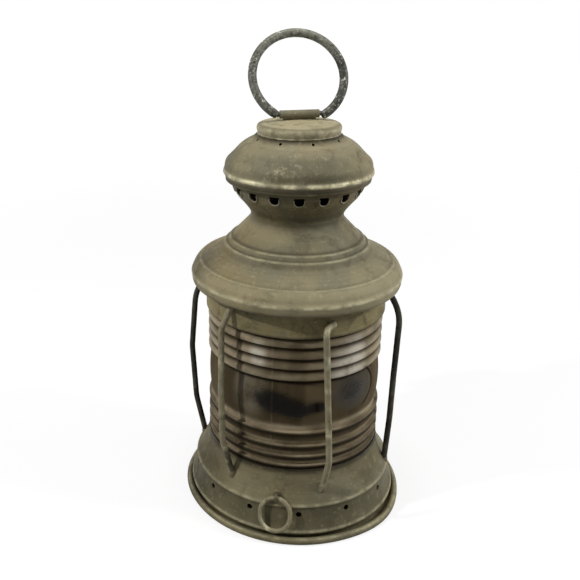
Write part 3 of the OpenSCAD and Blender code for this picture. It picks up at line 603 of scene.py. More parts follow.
def base_layers(s, colour):
    """Dust on the skirt's slope; the band darker, partly dirt and partly painted shade; painted
    shade low in front, on the skirt's left and at the far left foot; a darker patch on the right;
    darker low down.
    """
    z = s.split()[2]
    dust = s.times(s.ramp(z, 0.024, 0.034, 0, 0.4), s.ramp(s.noise(45, 4), 0.4, 0.65))
    colour = s.mix(dust, colour, TAN)
    # The band darker: partly dirt, partly painted shade
    band = s.times(s.ramp(z, 0.0238, 0.0225), s.ramp(z, 0.0076, 0.0095))
    band = s.times(band, s.ramp(s.noise(60, 4, 0.6), 0.3, 0.6, 0.35, 0.6))
    colour = s.mix(band, colour, rgb(84, 78, 56))
    # Painted shade low in front, on the skirt's left and at the far left foot; then a darker patch
    # on the right, and darker low down
    front = cloudy_shade(s, at(4, 68, 16), 0.034, 0.15, 0.4)
    left = cloudy_shade(s, at(-74, 62, 32), 0.034, 0.3, 0.55)
    foot = cloudy_shade(s, at(-88, 71, 10), 0.046, 0.65, 0.9)
    right = s.times(s.spot(at(46, 60, 34), 0.03), 0.3)
    low = s.times(s.ramp(z, 0.004, 0.016, 0.3, 0), s.ramp(s.noise(70, 4), 0.35, 0.6))
    for dirt_and_shade in (front, left, foot, right, low):
        colour = s.mix(dirt_and_shade, colour, DARK)
    return colour


# Glass rubbed clear of dust: azimuth, half width, height, half height, slope and strength
RUBBED = ((-22, 18, 91, 8.2, 0.3, 1.45), (-6, 9, 86, 4.5, 0.0, 0.6), (5, 6, 89, 4.0, 0.0, 1.0),
          (30, 17, 95, 13.0, 0.0, 0.72))
# Painted highlights on the ribs, with their reach in metres, and the azimuth of a pale vertical line
# that is a painted reflection
PAINTED_GLINTS = ((at(24, 57, 109), 0.019), (at(30, 57, 119), 0.011), (at(-35, 57, 122), 0.008))
REFLECTION_LINE_AZ = -25.5


def glass():
    """Pressed glass under a film of dust, rubbed clear in two places, with pale rib bands that are
    dust and painted light, dark lines under the rib tips as painted shadow, painted highlights and a
    painted reflection line. Soot on its inner wall hides the burner."""
    s = Shader("sooty_glass")
    soot, lit_bands, groove_shadow = (s.attribute(key) for key in ("grime_and_shade", "wear_and_highlight", "groove_shadow"))
    x, y, z = s.split()
    angle = s.math("ARCTAN2", x, s.times(y, -1.0))
    film = s.noise(45, 5, 0.6, 0.4)
    streaks = s.noise(60, 4, 0.6, vector=s.mapped((1, 1, 0.12)))
    outside = s.mix(s.ramp(streaks, 0.35, 0.65), rgb(76, 65, 45), rgb(106, 93, 69))
    # Pale bands on the rib slopes: dust, and painted light on the lit faces
    patchy = s.ramp(s.noise(38, 4, 0.6, vector=s.mapped((1, 1, 2.2))), 0.36, 0.62, 0.35, 1)
    # Painted shade: fewer pale bands in front, so the ribs are darker in the middle than at the
    # sides
    front_shade = s.ramp(s.spot(at(-2, 57, 122), 0.05, (1, 1, 0.8)), 0.0, 1.0, 1, 0.5)
    dust_and_lit_bands = s.times(lit_bands, s.times(patchy, front_shade))
    outside = s.mix(dust_and_lit_bands, outside, rgb(194, 178, 148))
    # Painted highlights: near-white glints on the rib bands
    for place, reach in PAINTED_GLINTS:
        ragged = s.ramp(s.noise(110, 4, 0.6), 0.3, 0.55, 0.5, 1)
        glint = s.times(s.spot(place, reach, (1, 1, 0.6)), ragged)
        outside = s.mix(s.times(glint, lit_bands), outside, rgb(238, 230, 212))
    bloom = s.spot(at(-41, 57, 96), 0.017, (1, 1, 0.7))
    bloom = s.times(bloom, s.ramp(s.noise(95, 4, 0.6), 0.3, 0.6, 0.3, 1))
    outside = s.mix(bloom, outside, rgb(136, 127, 108))
    field = s.math("MULTIPLY_ADD", s.noise(85, 5, 0.65, 0.8), 0.8, -0.4)
    for az, wide, middle, tall, slope, strength in RUBBED:
        u = s.math("DIVIDE", s.math("SUBTRACT", angle, math.radians(az)), math.radians(wide))
        v = s.math("DIVIDE", s.math("SUBTRACT", z, middle * MM), tall * MM)
        v = s.math("MULTIPLY_ADD", u, slope, v)
        far = s.math("MULTIPLY_ADD", u, u, s.times(v, v))
        near = s.math("EXPONENT", s.times(far, -1.0))
        field = s.math("MULTIPLY_ADD", near, strength, field)
    cover = s.math("MAXIMUM", s.ramp(film, 0.3, 0.7, 0.93, 1.0), lit_bands)
    cover = s.times(cover, s.ramp(field, 0.1, 1.05, 1, 0.06))
    # Here u and far belong to the last place, which has a grey haze and a dark rim on its right
    outside = s.mix(s.ramp(far, 1.3, 0.6, 0, 0.7), outside, rgb(100, 95, 86))
    # Painted reflection: a thin pale vertical line
    reflection_line = s.math("ABSOLUTE", s.math("SUBTRACT", angle, math.radians(REFLECTION_LINE_AZ)))
    reflection_line = s.ramp(reflection_line, 0.014, 0.004, 0, 0.22)
    outside = s.mix(reflection_line, outside, rgb(160, 150, 128))
    cover = s.math("MAXIMUM", cover, reflection_line)
    rim = s.ramp(s.math("ABSOLUTE", s.math("SUBTRACT", far, 1.3)), 0.2, 0.08)
    # Dark lines under each rib tip and at both ends of the ribs are painted shadow; a dark rim runs
    # by the last rubbed place
    dark = s.math("MAXIMUM", groove_shadow, s.times(rim, s.ramp(u, 0.3, 0.7)))
    outside = s.mix(dark, outside, rgb(24, 17, 9))
    cover = s.math("MAXIMUM", cover, dark)
    inside = s.mix(s.ramp(film, 0.35, 0.65), rgb(36, 31, 29), rgb(48, 42, 37))
    rough = s.math("MULTIPLY_ADD", lit_bands, -0.4, s.ramp(cover, 0.2, 0.9, 0.15, 0.75))
    clear = s.times(s.math("SUBTRACT", 1.0, soot), s.math("SUBTRACT", 1.0, cover))
    s.set(Base_Color=s.mix(soot, outside, inside), Roughness=rough, Transmission_Weight=clear,
          IOR=1.3, Specular_Tint=(0.3, 0.3, 0.3, 1), Specular_IOR_Level=0.25)
    s.bump(s.noise(300, 3, 0.6), 0.12, BUMP_DEPTH)
    return s.mat


def iron():
    """Handled iron: grey-brown with pale flecks where the plating is left."""
    s = Shader("ring_iron")
    colour = s.mix(s.ramp(s.noise(42, 4, 0.6), 0.4, 0.6), rgb(40, 40, 35), rgb(96, 96, 86))
    colour = s.mix(s.ramp(s.split()[2], 0.288, 0.306, 0, 0.5), colour, rgb(150, 148, 132))
    mottle = s.noise(420, 4, 0.65, 0.4)
    colour = s.mix(s.ramp(mottle, 0.5, 0.66, 0, 0.75), colour, rgb(38, 36, 29))
    flecks = s.noise(500, 3, 0.6)
    bright = s.times(s.ramp(flecks, 0.54, 0.63), s.ramp(s.attribute("wear_and_highlight"), 0.05, 0.4, 0.25, 0.95))
    colour = s.mix(bright, colour, rgb(198, 198, 184))
    s.set(Base_Color=colour, Roughness=s.ramp(mottle, 0.3, 0.7, 0.42, 0.65), Metallic=0.35,
          Specular_IOR_Level=0.3)
    s.bump(s.math("ADD", mottle, flecks), 0.4, BUMP_DEPTH)
    return s.mat


def cotton():
    """Woven cotton soaked with oil, charred at its top."""
    s = Shader("wick_cotton")
    threads = s.noise(900, 2, 0.5, vector=s.mapped((1, 1, 0.25)))
    colour = s.mix(threads, rgb(150, 136, 106), rgb(196, 184, 152))
    char = s.ramp(s.split()[2], (WICK_HIGH - 4) * MM, (WICK_HIGH - 0.8) * MM)
    colour = s.mix(s.times(char, s.ramp(s.noise(300), 0.3, 0.5, 0.7, 1)), colour, rgb(26, 22, 20))
    s.set(Base_Color=colour, Roughness=0.95, Sheen_Weight=0.3)
    s.bump(threads, 0.5, BUMP_DEPTH)
    return s.mat


def felt():
    """Matted felt packing, grimy at its edge."""
    s = Shader("felt_packing")
    fibre = s.noise(1400, 4, 0.7, 1.2)
    colour = s.mix(s.ramp(fibre, 0.35, 0.65), rgb(62, 55, 44), rgb(104, 95, 78))
    colour = s.mix(s.ramp(s.noise(120), 0.5, 0.7, 0, 0.7), colour, rgb(36, 31, 24))
    s.set(Base_Color=colour, Roughness=0.97, Sheen_Weight=0.4)
    s.bump(fibre, 0.8, 0.0006)
    return s.mat


def give(obj, material):
    obj.data.materials.clear()
    obj.data.materials.append(material)


# Stage: background, floor, lights and camera
WORLD_LIGHT, FLOOR_HALF, FLOOR_GREYS, WHITE = 0.12, 6, (0.27, 0.29), (1, 1, 1, 1)
# Glow of the floor far off, how much less it is under the part, and how far that reaches
GLOW_FAR, GLOW_LESS, GLOW_REACH = 0.98, -0.19, 1.6
# Lights: name, place in metres, size and power; all of them point at one place
LIGHTS = (("top", (-0.05, -0.02, 1.35), 0.4, 4.4), ("right", (0.95, -0.38, 0.87), 0.26, 6.0),
          ("left", (-1.0, -0.31, 1.0), 0.09, 8.0), ("low_right", (1.15, -0.08, 0.5), 0.2, 1.8),
          ("low_left", (-1.19, 0.2, 0.3), 0.3, 0.25))
LIGHTS_AIM = Vector((0, 0, 0.15))


def ray_mask(tree):
    """1 for rays that come from the camera, from a mirroring face or through glass."""
    path = tree.nodes.new("ShaderNodeLightPath")
    mask = path.outputs["Is Camera Ray"]
    for key in ("Is Glossy Ray", "Is Transmission Ray"):
        m = tree.nodes.new("ShaderNodeMath")
        m.operation = "MAXIMUM"
        tree.links.new(mask, m.inputs[0])
        tree.links.new(path.outputs[key], m.inputs[1])
        mask = m.outputs[0]
    return mask


def backdrop():
    """White background, and a pale floor that keeps the part's shadow."""
    scene = bpy.context.scene
    scene.view_settings.view_transform = "Standard"
    world = bpy.data.worlds.new("studio")
    scene.world = world
    world.use_nodes = True
    tree = world.node_tree
    background = tree.nodes["Background"]
    level = tree.nodes.new("ShaderNodeMapRange")
    level.inputs["To Min"].default_value = WORLD_LIGHT
    level.inputs["To Max"].default_value = 1.0
    tree.links.new(ray_mask(tree), level.inputs["Value"])
    background.inputs["Color"].default_value = WHITE
    tree.links.new(level.outputs["Result"], background.inputs["Strength"])

    h = FLOOR_HALF
    floor = new_object("floor", [(-h, -h, 0), (h, -h, 0), (h, h, 0), (-h, h, 0)], [(0, 1, 2, 3)])
    s = Shader("floor_white")
    dark, pale = ((g, g, g, 1) for g in FLOOR_GREYS)
    glow = s.math("MULTIPLY_ADD", s.spot((0, 0, 0), GLOW_REACH), GLOW_LESS, GLOW_FAR)
    s.set(Base_Color=s.mix(s.noise(3, 2), dark, pale), Roughness=0.9, Specular_IOR_Level=0,
          Emission_Color=WHITE, Emission_Strength=s.times(ray_mask(s.tree), glow))
    give(floor, s.mat)


def lights():
    for name, place, size, power in LIGHTS:
        light = bpy.data.lights.new(name, "AREA")
        light.shape = "DISK"
        light.size = size
        light.energy = power
        obj = bpy.data.objects.new(name, light)
        bpy.context.scene.collection.objects.link(obj)
        obj.location = place
        obj.rotation_euler = (LIGHTS_AIM - Vector(place)).to_track_quat("-Z", "Y").to_euler()


def camera():
    """The camera of the photograph, from its place, its turns and its focal length in pixels."""
    data = bpy.data.cameras.new("camera")
    cam = bpy.data.objects.new("camera", data)
    bpy.context.scene.collection.objects.link(cam)
    bpy.context.scene.camera = cam
    yaw, pitch, roll = (math.radians(v) for v in (CAM_YAW, CAM_PITCH, CAM_ROLL))
    level = math.cos(pitch)
    fwd = Vector((math.sin(yaw) * level, math.cos(yaw) * level, -math.sin(pitch)))
    right = Vector((math.cos(yaw), -math.sin(yaw), 0))
    up = right.cross(fwd)
    x = right * math.cos(roll) + up * math.sin(roll)
    y = up * math.cos(roll) - right * math.sin(roll)
    m = Matrix((x, y, -fwd)).transposed().to_4x4()
    m.translation = at(CAM_AZ, CAM_R, CAM_H)
    cam.matrix_world = m
    data.sensor_width = 36
    data.lens = CAM_F / FRAME * data.sensor_width
    data.shift_x = (FRAME / 2 - CAM_CX) / FRAME
    data.shift_y = (CAM_CY - FRAME / 2) / FRAME
    data.clip_start = 0.01


backdrop()
lights()
camera()

# Materials of the pieces: main colour, warm colour, dark for stains and painted shade, and pale for
# wear and painted highlights
BRASS = patina("brass_patina")
HOOD_BRASS = patina("hood_patina", layers=hood_layers)
CROWN_BRASS = patina("crown_patina", rgb(127, 120, 94), rgb(142, 132, 102), rgb(62, 56, 40),
                     layers=crown_layers)
CAP_BRASS = patina("cap_patina", dark=rgb(66, 60, 43), fleck=0.5, stain=0.6, layers=cap_layers)
# The bowl's darker, warmer brass is partly painted shade under the crown's brim
BOWL_BRASS_AND_SHADE = patina("bowl_patina_and_shade", rgb(106, 97, 66), rgb(126, 115, 82), rgb(52, 46, 29), stain=0.7)
COLLAR_BRASS = patina("collar_patina", rgb(138, 127, 90), rgb(154, 140, 98), rgb(66, 57, 36),
                      stain=0.65)
BASE_BRASS = patina("base_patina", rgb(126, 118, 88), rgb(139, 130, 99), fleck=0.15,
                    layers=base_layers)
WIRE = patina("guard_wire", rgb(147, 138, 109), rgb(165, 155, 125), rgb(58, 52, 39),
              fleck=0.6, stain=0.6)
DARK_WIRE = patina("dark_wire", rgb(44, 41, 34), rgb(56, 52, 43), rgb(24, 22, 18), rgb(96, 90, 76),
                   fleck=0.2)
INNER = patina("sooty_brass", rgb(72, 62, 44), rgb(92, 78, 52), rgb(28, 24, 19), rgb(130, 118, 86),
               fleck=0.15)
STEEL = patina("dull_steel", rgb(120, 118, 110), rgb(134, 131, 122), rgb(66, 60, 52),
               rgb(190, 188, 180), metal=0.6, gloss=0.4)
# The lens seat is dark: grime, and painted shade at the foot of the glass
SEAT_GRIME_AND_SHADE = patina("seat_grime_and_shade", rgb(48, 42, 30), rgb(60, 53, 39), rgb(24, 20, 14), rgb(96, 88, 68),
               fleck=0.15)
SLEEVE = patina("sleeve_patina", rgb(122, 116, 94), rgb(138, 131, 107), rgb(54, 50, 38),
                rgb(178, 174, 154), fleck=0.6)
EYE = patina("eye_patina", rgb(84, 77, 58), rgb(96, 88, 66), rgb(48, 43, 32))
SOLDER = patina("old_solder", rgb(150, 143, 124), rgb(166, 158, 136), rgb(92, 86, 70), fleck=0.5)
IRON, GLASS, COTTON, FELT = iron(), glass(), cotton(), felt()


# Outlines of the turned pieces, as radius and height from the bottom up
HOOD = ([(66.0, 153.45), (66.9, 153.75), (67.5, 154.9), (67.8, 156.8), (67.75, 158.2),
         (68.15, 159.2), (68.2, 160.0), (67.9, 161.0), (67.3, 161.9)]
        + bow((67.3, 161.9), (65.8, 166.6), (62.6, 168.3))
        + [(61.9, 168.5), (61.0, 168.3), (60.2, 168.4), (58.8, 169.9), (52.0, 173.4)]
        + bow((52.0, 173.4), (49.6, 174.4), (47.3, 176.6))
        + [(46.6, 179.2), (45.8, 179.8), (44.6, 179.7), (44.0, 180.3), (43.3, 182.6),
           (42.5, 183.1), (41.4, 182.9), (40.2, 184.5), (31.0, 194.25)]
        + bow((31.0, 194.25), (29.6, 195.8), (29.6, 198.05)))
BOWL = ([(29.6, 198.05), (29.6, 199.05)] + bow((29.6, 199.05), (30.72, 202.4), (38.1, 210.25))
        + bow((38.1, 210.25), (39.67, 212.5), (41.9, 218.95)) + [(42.4, 220.45), (45.6, 220.45)])
CROWN = [(45.6, 221.45), (45.8, 222.8), (46.2, 224.1), (46.9, 224.6), (47.3, 225.4), (47.0, 226.4),
         (46.4, 227.5), (46.1, 229.2), (45.9, 231.0), (45.2, 232.8), (42.5, 235.4), (39.6, 238.4),
         (37.4, 240.9), (34.2, 243.4), (31.4, 245.0), (29.6, 245.7), (28.2, 246.6), (27.3, 247.7),
         (26.8, 248.35), (23.7, 248.35)]
CAP_TOP = 257.05
CAP = (arc((25.3, 248.95), 0.6, -90, 60, 6) + [(25.8, 250.0), (26.3, 252.0)]
       + bow((26.3, 252.0), (26.6, 254.6), (23.4, 255.3))
       + bow((23.4, 255.3), (13.2, CAP_TOP), (2.0, CAP_TOP)) + [(0.0, CAP_TOP)])
BAND = ([(68.0, 1.2), (68.0, 5.2)] + arc((68.6, 6.8), 1.6, -90, 30)
        + bow((69.99, 7.6), (66.5, 11.7), (66.0, 23.2)))
SKIRT = [(66.6, 23.2), (66.6, 24.2), (65.6, 24.9)] + bow((65.6, 24.9), (59.3, 33.5), (57.4, 43.8))
COLLAR = [(57.5, 136.2), (58.1, 136.0), (58.5, 136.5), (58.5, 168.1), (57.5, 168.6), (57.5, 142.8),
          (48.0, 142.8), (48.0, 141.8), (57.5, 141.8)]
PAN = ([(0.0, 0.0), (71.65, 0.0)] + arc((71.65, 2.3), 2.3, -90, 200, 26)
       + [(69.0, 1.2), (54.0, 1.2), (54.0, 9.2), (55.5, 9.2), (55.5, 10.2), (53.0, 10.2),
          (53.0, 1.2), (0.0, 1.2)])
# Packing under and over the glass, as radius and height above its underside
FELT_T = 1.0
FELT_RING = ((49.1, 0.1), (54.7, 0.05), (54.95, 0.5), (54.7, 0.95), (49.2, 0.9), (49.0, 0.5))


def rib(low, high, upward):
    """Outline of one rib, with its tip at the end next to the belt."""
    out = []
    for k in range(9):
        t = k / 8
        rise = math.sin(math.pi / 2 * (t if upward else 1 - t))
        out.append((GROOVE_R + (LENS_R - GROOVE_R) * rise, low + (high - low) * t))
    return out


lower = [p for a, b in zip((RIBS_LOW,) + LOWER_TIPS, LOWER_TIPS) for p in rib(a, b, True)]
upper = [p for a, b in zip(UPPER_TIPS, UPPER_TIPS[1:] + (RIBS_HIGH,)) for p in rib(a, b, False)]
BELT_Z, BELT_H = LOWER_TIPS[-1], UPPER_TIPS[0] - LOWER_TIPS[-1]
belt = [(GROOVE_R + BELT_SWELL * math.sin(math.pi * k / 20), BELT_Z + BELT_H * k / 20)
        for k in range(21)]
LENS = soft([(GROOVE_R, GLASS_Z)] + lower + belt + upper + [(GROOVE_R, GLASS_TOP)], 0.4, 2)


def sheet_loop(outline):
    """Closed outline of a sheet with an outline as its outer face."""
    line = soft(outline)
    return line + inner(line, SHEET)[::-1]


replaced = []


def add(obj, material, slot, body, *nodes):
    """Puts a finished piece on its body in place of CAD nodes."""
    give(obj, material)
    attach(obj, body)
    if nodes:
        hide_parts(*nodes)
    replaced.extend(nodes)


# Top: hood, vented bowl, crown and cap
# Pale marks on the bead, the shoulder and the two ridge crests are painted highlights; dark marks
# under the rim, in the creases and round the neck are painted shade
hood = lathe("hood_shell", sheet_loop(HOOD),
             dents(1, 0.35, 24, [((-40, 60, 170), 9, 0.5), ((25, 56, 172), 8, 0.4)]),
             wear_and_highlight=[(68.2, 159.8, 1.3, 0.8), (62.2, 168.5, 0.9, 0.3), (46.3, 179.5, 0.9, 0.45),
                   (43.0, 182.9, 0.9, 0.5)],
             grime_and_shade=[(66.6, 154.0, 1.6, 0.6), (60.4, 168.4, 0.9, 0.35), (44.6, 179.8, 0.8, 0.7),
                    (41.2, 183.2, 1.2, 0.6), (47.6, 176.2, 1.6, 0.3), (29.6, 197.5, 3.4, 0.75)])
add(hood, HOOD_BRASS, "patina_brass", "lamp", "hood")

# Dark rings under the crown's brim and by the neck are painted shade
bowl = lathe("vented_bowl", sheet_loop(BOWL), dents(1, 0.35, 24),
             grime_and_shade=[(43.5, 220.4, 3.0, 0.8), (30.5, 201.5, 4.0, 0.45)])
half, low = VENT_W / 2, VENT_W / 2 - VENT_TALL / 2
vent = [(half, VENT_TALL / 2), (-half, VENT_TALL / 2)] + arc((0, low), half, 180, 360, 14)
cut(bowl, bars(vent, VENT_CUT, round_places(VENT_AZ, VENTS, VENT_R, VENT_Z)))
add(bowl, BOWL_BRASS_AND_SHADE, "patina_brass", "lamp", "crown_bowl")


def on_bowl(az, side, z):
    """Point just outside the bowl's wall, so many millimetres to the side of an azimuth."""
    r = np.interp(z, [q[1] for q in BOWL], [q[0] for q in BOWL]) + LIP_GAP
    return at(az + math.degrees(side / r), r, z)


edge = [(u * LIP_GROW, v * LIP_GROW) for u, v in arc((0, low), half, 0, -180, 16)]
edge = [(half + LIP_SIDE, LIP_END)] + edge + [(-half - LIP_SIDE, LIP_END)]
lips = []
for i in range(VENTS):
    az = VENT_AZ + i * 360 / VENTS
    path = [on_bowl(az, u, VENT_Z + v) for u, v in edge]
    lips.append(tube("lip", path, LIP_R, 8, rough=0.1, seed=i))
add(joined("vent_lips", lips), SOLDER, "patina_brass", "lamp")

# The pale worn lip is partly a painted highlight; dark rings under the brim and below the cap are
# painted shade
crown = lathe("crown_shell", sheet_loop(CROWN), dents(3, 0.2, 20, [((-50, 45, 232), 7, 0.5)]),
              wear_and_highlight=[(47.2, 225.9, 1.35, 1.5)],
              grime_and_shade=[(45.7, 222.0, 1.6, 0.8), (27.6, 247.4, 1.8, 0.55), (26.6, 248.4, 1.0, 0.8)])
turn = Matrix.Rotation(-math.radians(PIN_TURN), 4, "Y")
places = [place @ turn for place in round_places(PIN_AZ, PINS, PIN_R, PIN_Z)]
cut(crown, bars(circle(PIN_D / 2, 16), PIN_CUT, places))
add(crown, CROWN_BRASS, "patina_brass", "lamp", "crown")

cap_line = soft(CAP, 0.5, 2)
cap_loop = cap_line + [(0.0, CAP_TOP - SHEET)] + inner(cap_line, SHEET)[:-2][::-1]
# Pale marks on the side and lower edge are partly painted highlights; dark rings at the foot and at
# the top's edge are painted shade
cap = lathe("cap_shell", cap_loop, dents(4, 0.12, 12),
            wear_and_highlight=[(26.1, 251.8, 1.9, 0.5), (25.7, 249.2, 0.5, 0.8)],
            grime_and_shade=[(25.6, 248.6, 0.9, 1.1), (24.9, 254.9, 1.1, 0.45)])
add(cap, CAP_BRASS, "patina_brass", "lamp", "cap")

# Middle: collar, glass and packing
# Dark rings on the upper collar under the hood and at its foot by the glass are painted shade
collar = lathe("collar_drum", fine(COLLAR, 1.5), dents(5, 0.15, 18),
               wear_and_highlight=[(58.5, 137.6, 0.6, 0.2)],
               grime_and_shade=[(58.5, 155.0, 5.0, 0.8), (58.3, 136.0, 0.9, 0.9)])
add(collar, COLLAR_BRASS, "patina_brass", "lamp", "upper_collar")
# Pale bands above each rib tip are painted light on the lit slopes, partly dust; dark lines under
# each tip and at both ends are painted shadow
pale = [(55.6, z + 1.3, 1.6, 0.9) for z in LOWER_TIPS] + [(56.7, z, 1.1, 0.8) for z in LOWER_TIPS]
pale += [(56.9, z + 1.9, 2.7, 0.95) for z in UPPER_TIPS] + [(55.8, BELT_Z + 2.6, 2.2, 0.9)]
lines = [(56.9, z - 1.9, 2.2, 0.85) for z in LOWER_TIPS]
lines += [(55.3, z - 1.9, 1.15, 0.95) for z in UPPER_TIPS]
lines += [(56.0, 44.4, 1.4, 1.0), (55.6, 134.9, 1.0, 0.9)]
lens = lathe("ribbed_glass", LENS + [(BORE_R, GLASS_TOP), (BORE_R, GLASS_Z)], segs=256, angle=30,
             wear_and_highlight=pale, groove_shadow=lines, grime_and_shade=[(BORE_R, z, 3.0, 1.0) for z in (GLASS_Z, GLASS_TOP)])
add(lens, GLASS, "lens_glass", "lamp", "lens")
for node, under in (("lower_gasket", GLASS_Z - FELT_T), ("upper_gasket", GLASS_TOP)):
    ring = soft([(r, under + h) for r, h in FELT_RING], 0.5, 1)
    packing = lathe(node.replace("gasket", "felt"), ring, dents(7, 0.25, 1.2), segs=240, angle=60)
    add(packing, FELT, "packing", "lamp", node)

# Base: skirt, air band and pan
# The pale ledge is partly a painted highlight; the dark ring at the top edge, where the glass
# stands, is painted shadow
skirt = lathe("skirt_shell", sheet_loop(SKIRT), dents(8, 0.2, 22, [((-70, 62, 32), 8, 0.5)]),
              wear_and_highlight=[(66.3, 24.4, 0.9, 0.4)], grime_and_shade=[(57.6, 43.2, 1.8, 1.0)])
add(skirt, BASE_BRASS, "patina_brass", "lamp", "base_skirt")
# The pale bead is partly a painted highlight; dark rings in the gap above the pan and under the
# ledge are painted shade
band = lathe("air_band", sheet_loop(BAND), dents(9, 0.2, 22), wear_and_highlight=[(69.9, 7.6, 0.9, 0.5)],
             grime_and_shade=[(68.4, 4.4, 1.6, 0.9), (66.2, 22.4, 1.4, 0.5)])
cut(band, bars(circle(AIR_D / 2), AIR_CUT, round_places(AIR_AZ, AIRS, AIR_R, AIR_Z)))
add(band, BASE_BRASS, "patina_brass", "lamp", "base_band")
# The pale rim top is partly a painted highlight; dark rings at the gap and under the rim are painted
# shade
pan = lathe("rolled_pan", fine(PAN, 1.5), dents(10, 0.06, 30, [((42, 72, 2), 26, -2.2)]),
            wear_and_highlight=[(72.6, 4.3, 1.0, 0.4)], grime_and_shade=[(69.6, 3.4, 1.2, 0.9), (73.0, 0.6, 1.0, 0.5)])
add(pan, BASE_BRASS, "patina_brass", "fount", "base_pan")

# Guard wires as they were bent by hand: azimuth, radius and height of each bend
GUARDS = {
    1: [(11.0, 57.4, 144.4), (3.4, 67.6, 146.4), (3.8, 68.4, 134.0), (6.2, 68.6, 84.0),
        (7.6, 68.0, 56.0), (6.8, 60.2, 31.5)],
    2: [(68.0, 57.0, 155.0), (68.0, 68.2, 135.0), (67.6, 66.7, 90.0), (67.8, 66.0, 58.0),
        (68.0, 64.0, 23.5)],
    3: [(128.0, 57.0, 155.0), (127.6, 68.2, 134.5), (128.6, 68.7, 92.0), (128.2, 68.2, 57.0),
        (128.0, 61.5, 27.0)],
    4: [(188.0, 57.0, 155.0), (188.5, 68.6, 133.5), (187.6, 67.8, 92.0), (188.0, 68.6, 59.0),
        (188.0, 61.5, 27.0)],
    5: [(-112.0, 57.0, 156.0), (-112.0, 68.6, 136.0), (-112.0, 71.9, 95.0), (-112.0, 69.4, 55.0),
        (-112.0, 62.5, 25.0)],
    6: [(-52.8, 57.0, 154.0), (-53.0, 67.6, 138.0), (-52.6, 68.8, 96.0), (-51.8, 68.6, 61.0),
        (-51.0, 60.2, 31.5)],
}
ferrules, blobs = [], []
for i, bends in GUARDS.items():
    points = [at(*b) for b in bends]
    path = bent(points, SIDE_BEND if i in SIDE_GUARDS else GUARD_BEND)
    wire = tube("guard_wire_%d" % i, path, GUARD_R, 20, rough=0.12, grain=2.6, seed=i)
    if i == SHADED_FOOT_GUARD:
        foot_dirt_and_shade(wire, FOOT_SHADE_STRENGTH)
    add(wire, DARK_WIRE if i in SIDE_GUARDS else WIRE, "guard_wire", "lamp", "guard_%d" % i)
    foot, up = points[-1], (points[-2] - points[-1]).normalized()
    path = [foot + up * t * FERRULE_STEP for t in range(len(FERRULE_RADII))]
    ferrules.append(tube("foot", path, FERRULE_RADII, 20, rough=0.15, grain=2.2, seed=i + 10))
    az, r, _ = bends[0]
    place = outward(az, 1, 0)
    into = (points[1] - points[0]).normalized()
    steep = max(0.2, into.dot(place.col[0].xyz))
    place.translation = points[0] + into * max(0.0, (SOLDER_AT - r) * MM / steep)
    blobs.append(mound("blob", place, SOLDER_RADII, i))
add(joined("foot_ferrules", ferrules), BASE_BRASS, "patina_brass", "lamp", "guard_ferrules")
add(joined("collar_solder", blobs), SOLDER, "patina_brass", "lamp")

# Ring handle, leaning back on its sleeve
lean = Matrix.Rotation(-math.radians(RING_LEAN), 4, "X")
lean.translation = Vector((RING_SHIFT, 0, RING_Z)) * MM


def leaning(points):
    """Points of the ring's own plane, in millimetres, where they lie in the scene."""
    return [lean @ (Vector((u, 0, v)) * MM) for u, v in points]


open_a = math.degrees(math.atan2(RING_HALF, RING_CENTRE))
hoop = arc((0, RING_CENTRE), RING_R, open_a - 90 - RING_END_R, 270 - open_a + RING_END_L, 110)
thick = RING_BLUNT + [RING_BAR] * (len(hoop) - 2 * len(RING_BLUNT)) + RING_BLUNT[::-1]
bar = [tube("hoop", leaning(hoop), thick, 22, rough=0.08, grain=2.2, seed=31)]
rod_end = SLEEVE_L / 2 - PIN_ROD_L
for near, far in ((rod_end, PIN_FAR_R), (-rod_end, -PIN_FAR_L)):
    rod = fine([(near - RING_SHIFT, 0), (far, 0)], 0.9)
    bar.append(tube("rod", leaning(rod), PIN_ROD_R, 18, seed=32))
add(joined("ring_bar", bar), IRON, "ring_iron", "handle", "ring_handle")

# Pull ring in the eye
tilt = outward(PULL_AZ, EYE_R, EYE_Z) @ Matrix.Rotation(-math.radians(PULL_TILT), 4, "Y")
loop = arc((0, -PULL_R), PULL_R, 0, 180, 30) + arc((0, -PULL_R - PULL_SIDE), PULL_R, 180, 360, 30)
path = [tilt @ (Vector((0, u, v)) * MM) for u, v in loop]
pull = tube("pull_wire", path, PULL_WIRE_R, 16, closed=True, rough=0.12, grain=2.2, seed=41)
add(pull, WIRE, "patina_brass", "pull", "pull_ring")

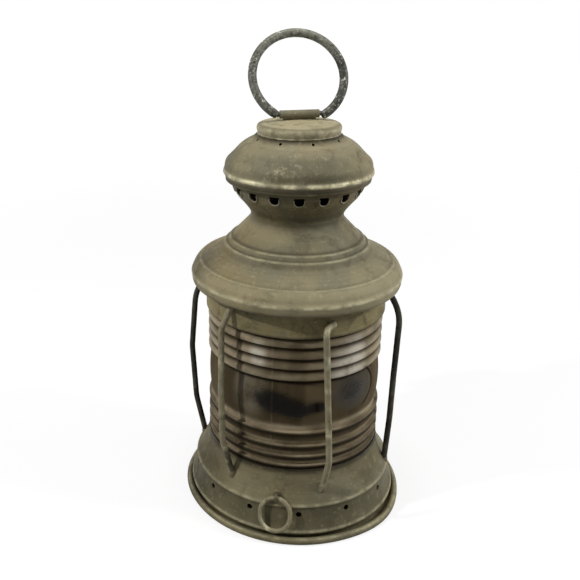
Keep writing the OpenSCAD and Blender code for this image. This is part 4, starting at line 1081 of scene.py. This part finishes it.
# Catch spring: a bent ribbon with a hole for the shank
upright, shelf, nose = SPRING_R + SPRING_T / 2, SPRING_FOOT_Z + SPRING_T / 2, NOSE_Z + NOSE_T / 2
line = [(SPRING_FOOT_R, shelf), (upright, shelf), (upright, nose), (NOSE_R, nose)]
ribbon = bent([Vector((r, 0, z)) * MM for r, z in line], SPRING_BEND, 0.6)
verts, faces = [], []
for p, (u, v) in zip(ribbon, sideways(ribbon, False)):
    n = v if abs(v.y) < 0.5 else u
    for side, face in ((-1, -1), (-1, 1), (1, 1), (1, -1)):
        verts.append(p + Vector((0, side * SPRING_W / 2, 0)) * MM + n * face * SPRING_T / 2 * MM)
last = 4 * len(ribbon) - 4
for k in range(0, last, 4):
    for i in range(4):
        j = (i + 1) % 4
        faces.append((k + i, k + j, k + 4 + j, k + 4 + i))
faces += [(0, 1, 2, 3), (last + 3, last + 2, last + 1, last)]
spring = new_object("catch_leaf", verts, faces, 30)
tidy_mesh(spring, 30)
hole = Matrix.Translation(Vector((SPRING_R, 0, EYE_Z)) * MM)
cut(spring, bars(circle(SHANK_HOLE / 2), SHANK_CUT, [hole]))
spring.data.transform(outward(PULL_AZ, 0, 0))
give(spring, STEEL)
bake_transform(spring)
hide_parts("catch_spring")
replaced.append("catch_spring")

# Wick of woven cotton
verts, faces = [], []
for j in range(ROWS + 1):
    z = WICK_LOW + (WICK_HIGH - WICK_LOW) * j / ROWS
    for k in range(AROUND):
        a = 2 * math.pi * k / AROUND
        c, s = math.cos(a), math.sin(a)
        weave = WEAVE * (1 + math.sin(k * math.pi / 2) * math.cos(j * math.pi / 2))
        burnt = 0.0 if j < ROWS else BURNT * abs(noise.noise(Vector((k * 0.35, 1.0, 0))))
        x = math.copysign(abs(c) ** 0.25, c) * (WICK_W / 2 - weave)
        y = math.copysign(abs(s) ** 0.5, s) * (WICK_T / 2 - weave)
        verts.append(Vector((x, y, z - burnt)) * MM)
for j in range(ROWS):
    for k in range(AROUND):
        m = (k + 1) % AROUND
        faces.append((j * AROUND + k, j * AROUND + m, (j + 1) * AROUND + m, (j + 1) * AROUND + k))
faces += [tuple(range(AROUND))[::-1], tuple(ROWS * AROUND + k for k in range(AROUND))]
add(new_object("wick_weave", verts, faces, 60), COTTON, "wick_cotton", "wick_strip", "wick")

# CAD nodes that keep their own shape
KEPT = {
    BRASS: ("filler_cap", "catch_bush"),
    EYE: ("catch_eye",),
    SLEEVE: ("ring_sleeve",),
    STEEL: ("wick_spindle",),
    SEAT_GRIME_AND_SHADE: ("lens_seat",),
}
finish = {node: material for material, nodes in KEPT.items() for node in nodes}
for name, obj in NODES.items():
    if name not in replaced:
        give(obj, finish.get(name, INNER))
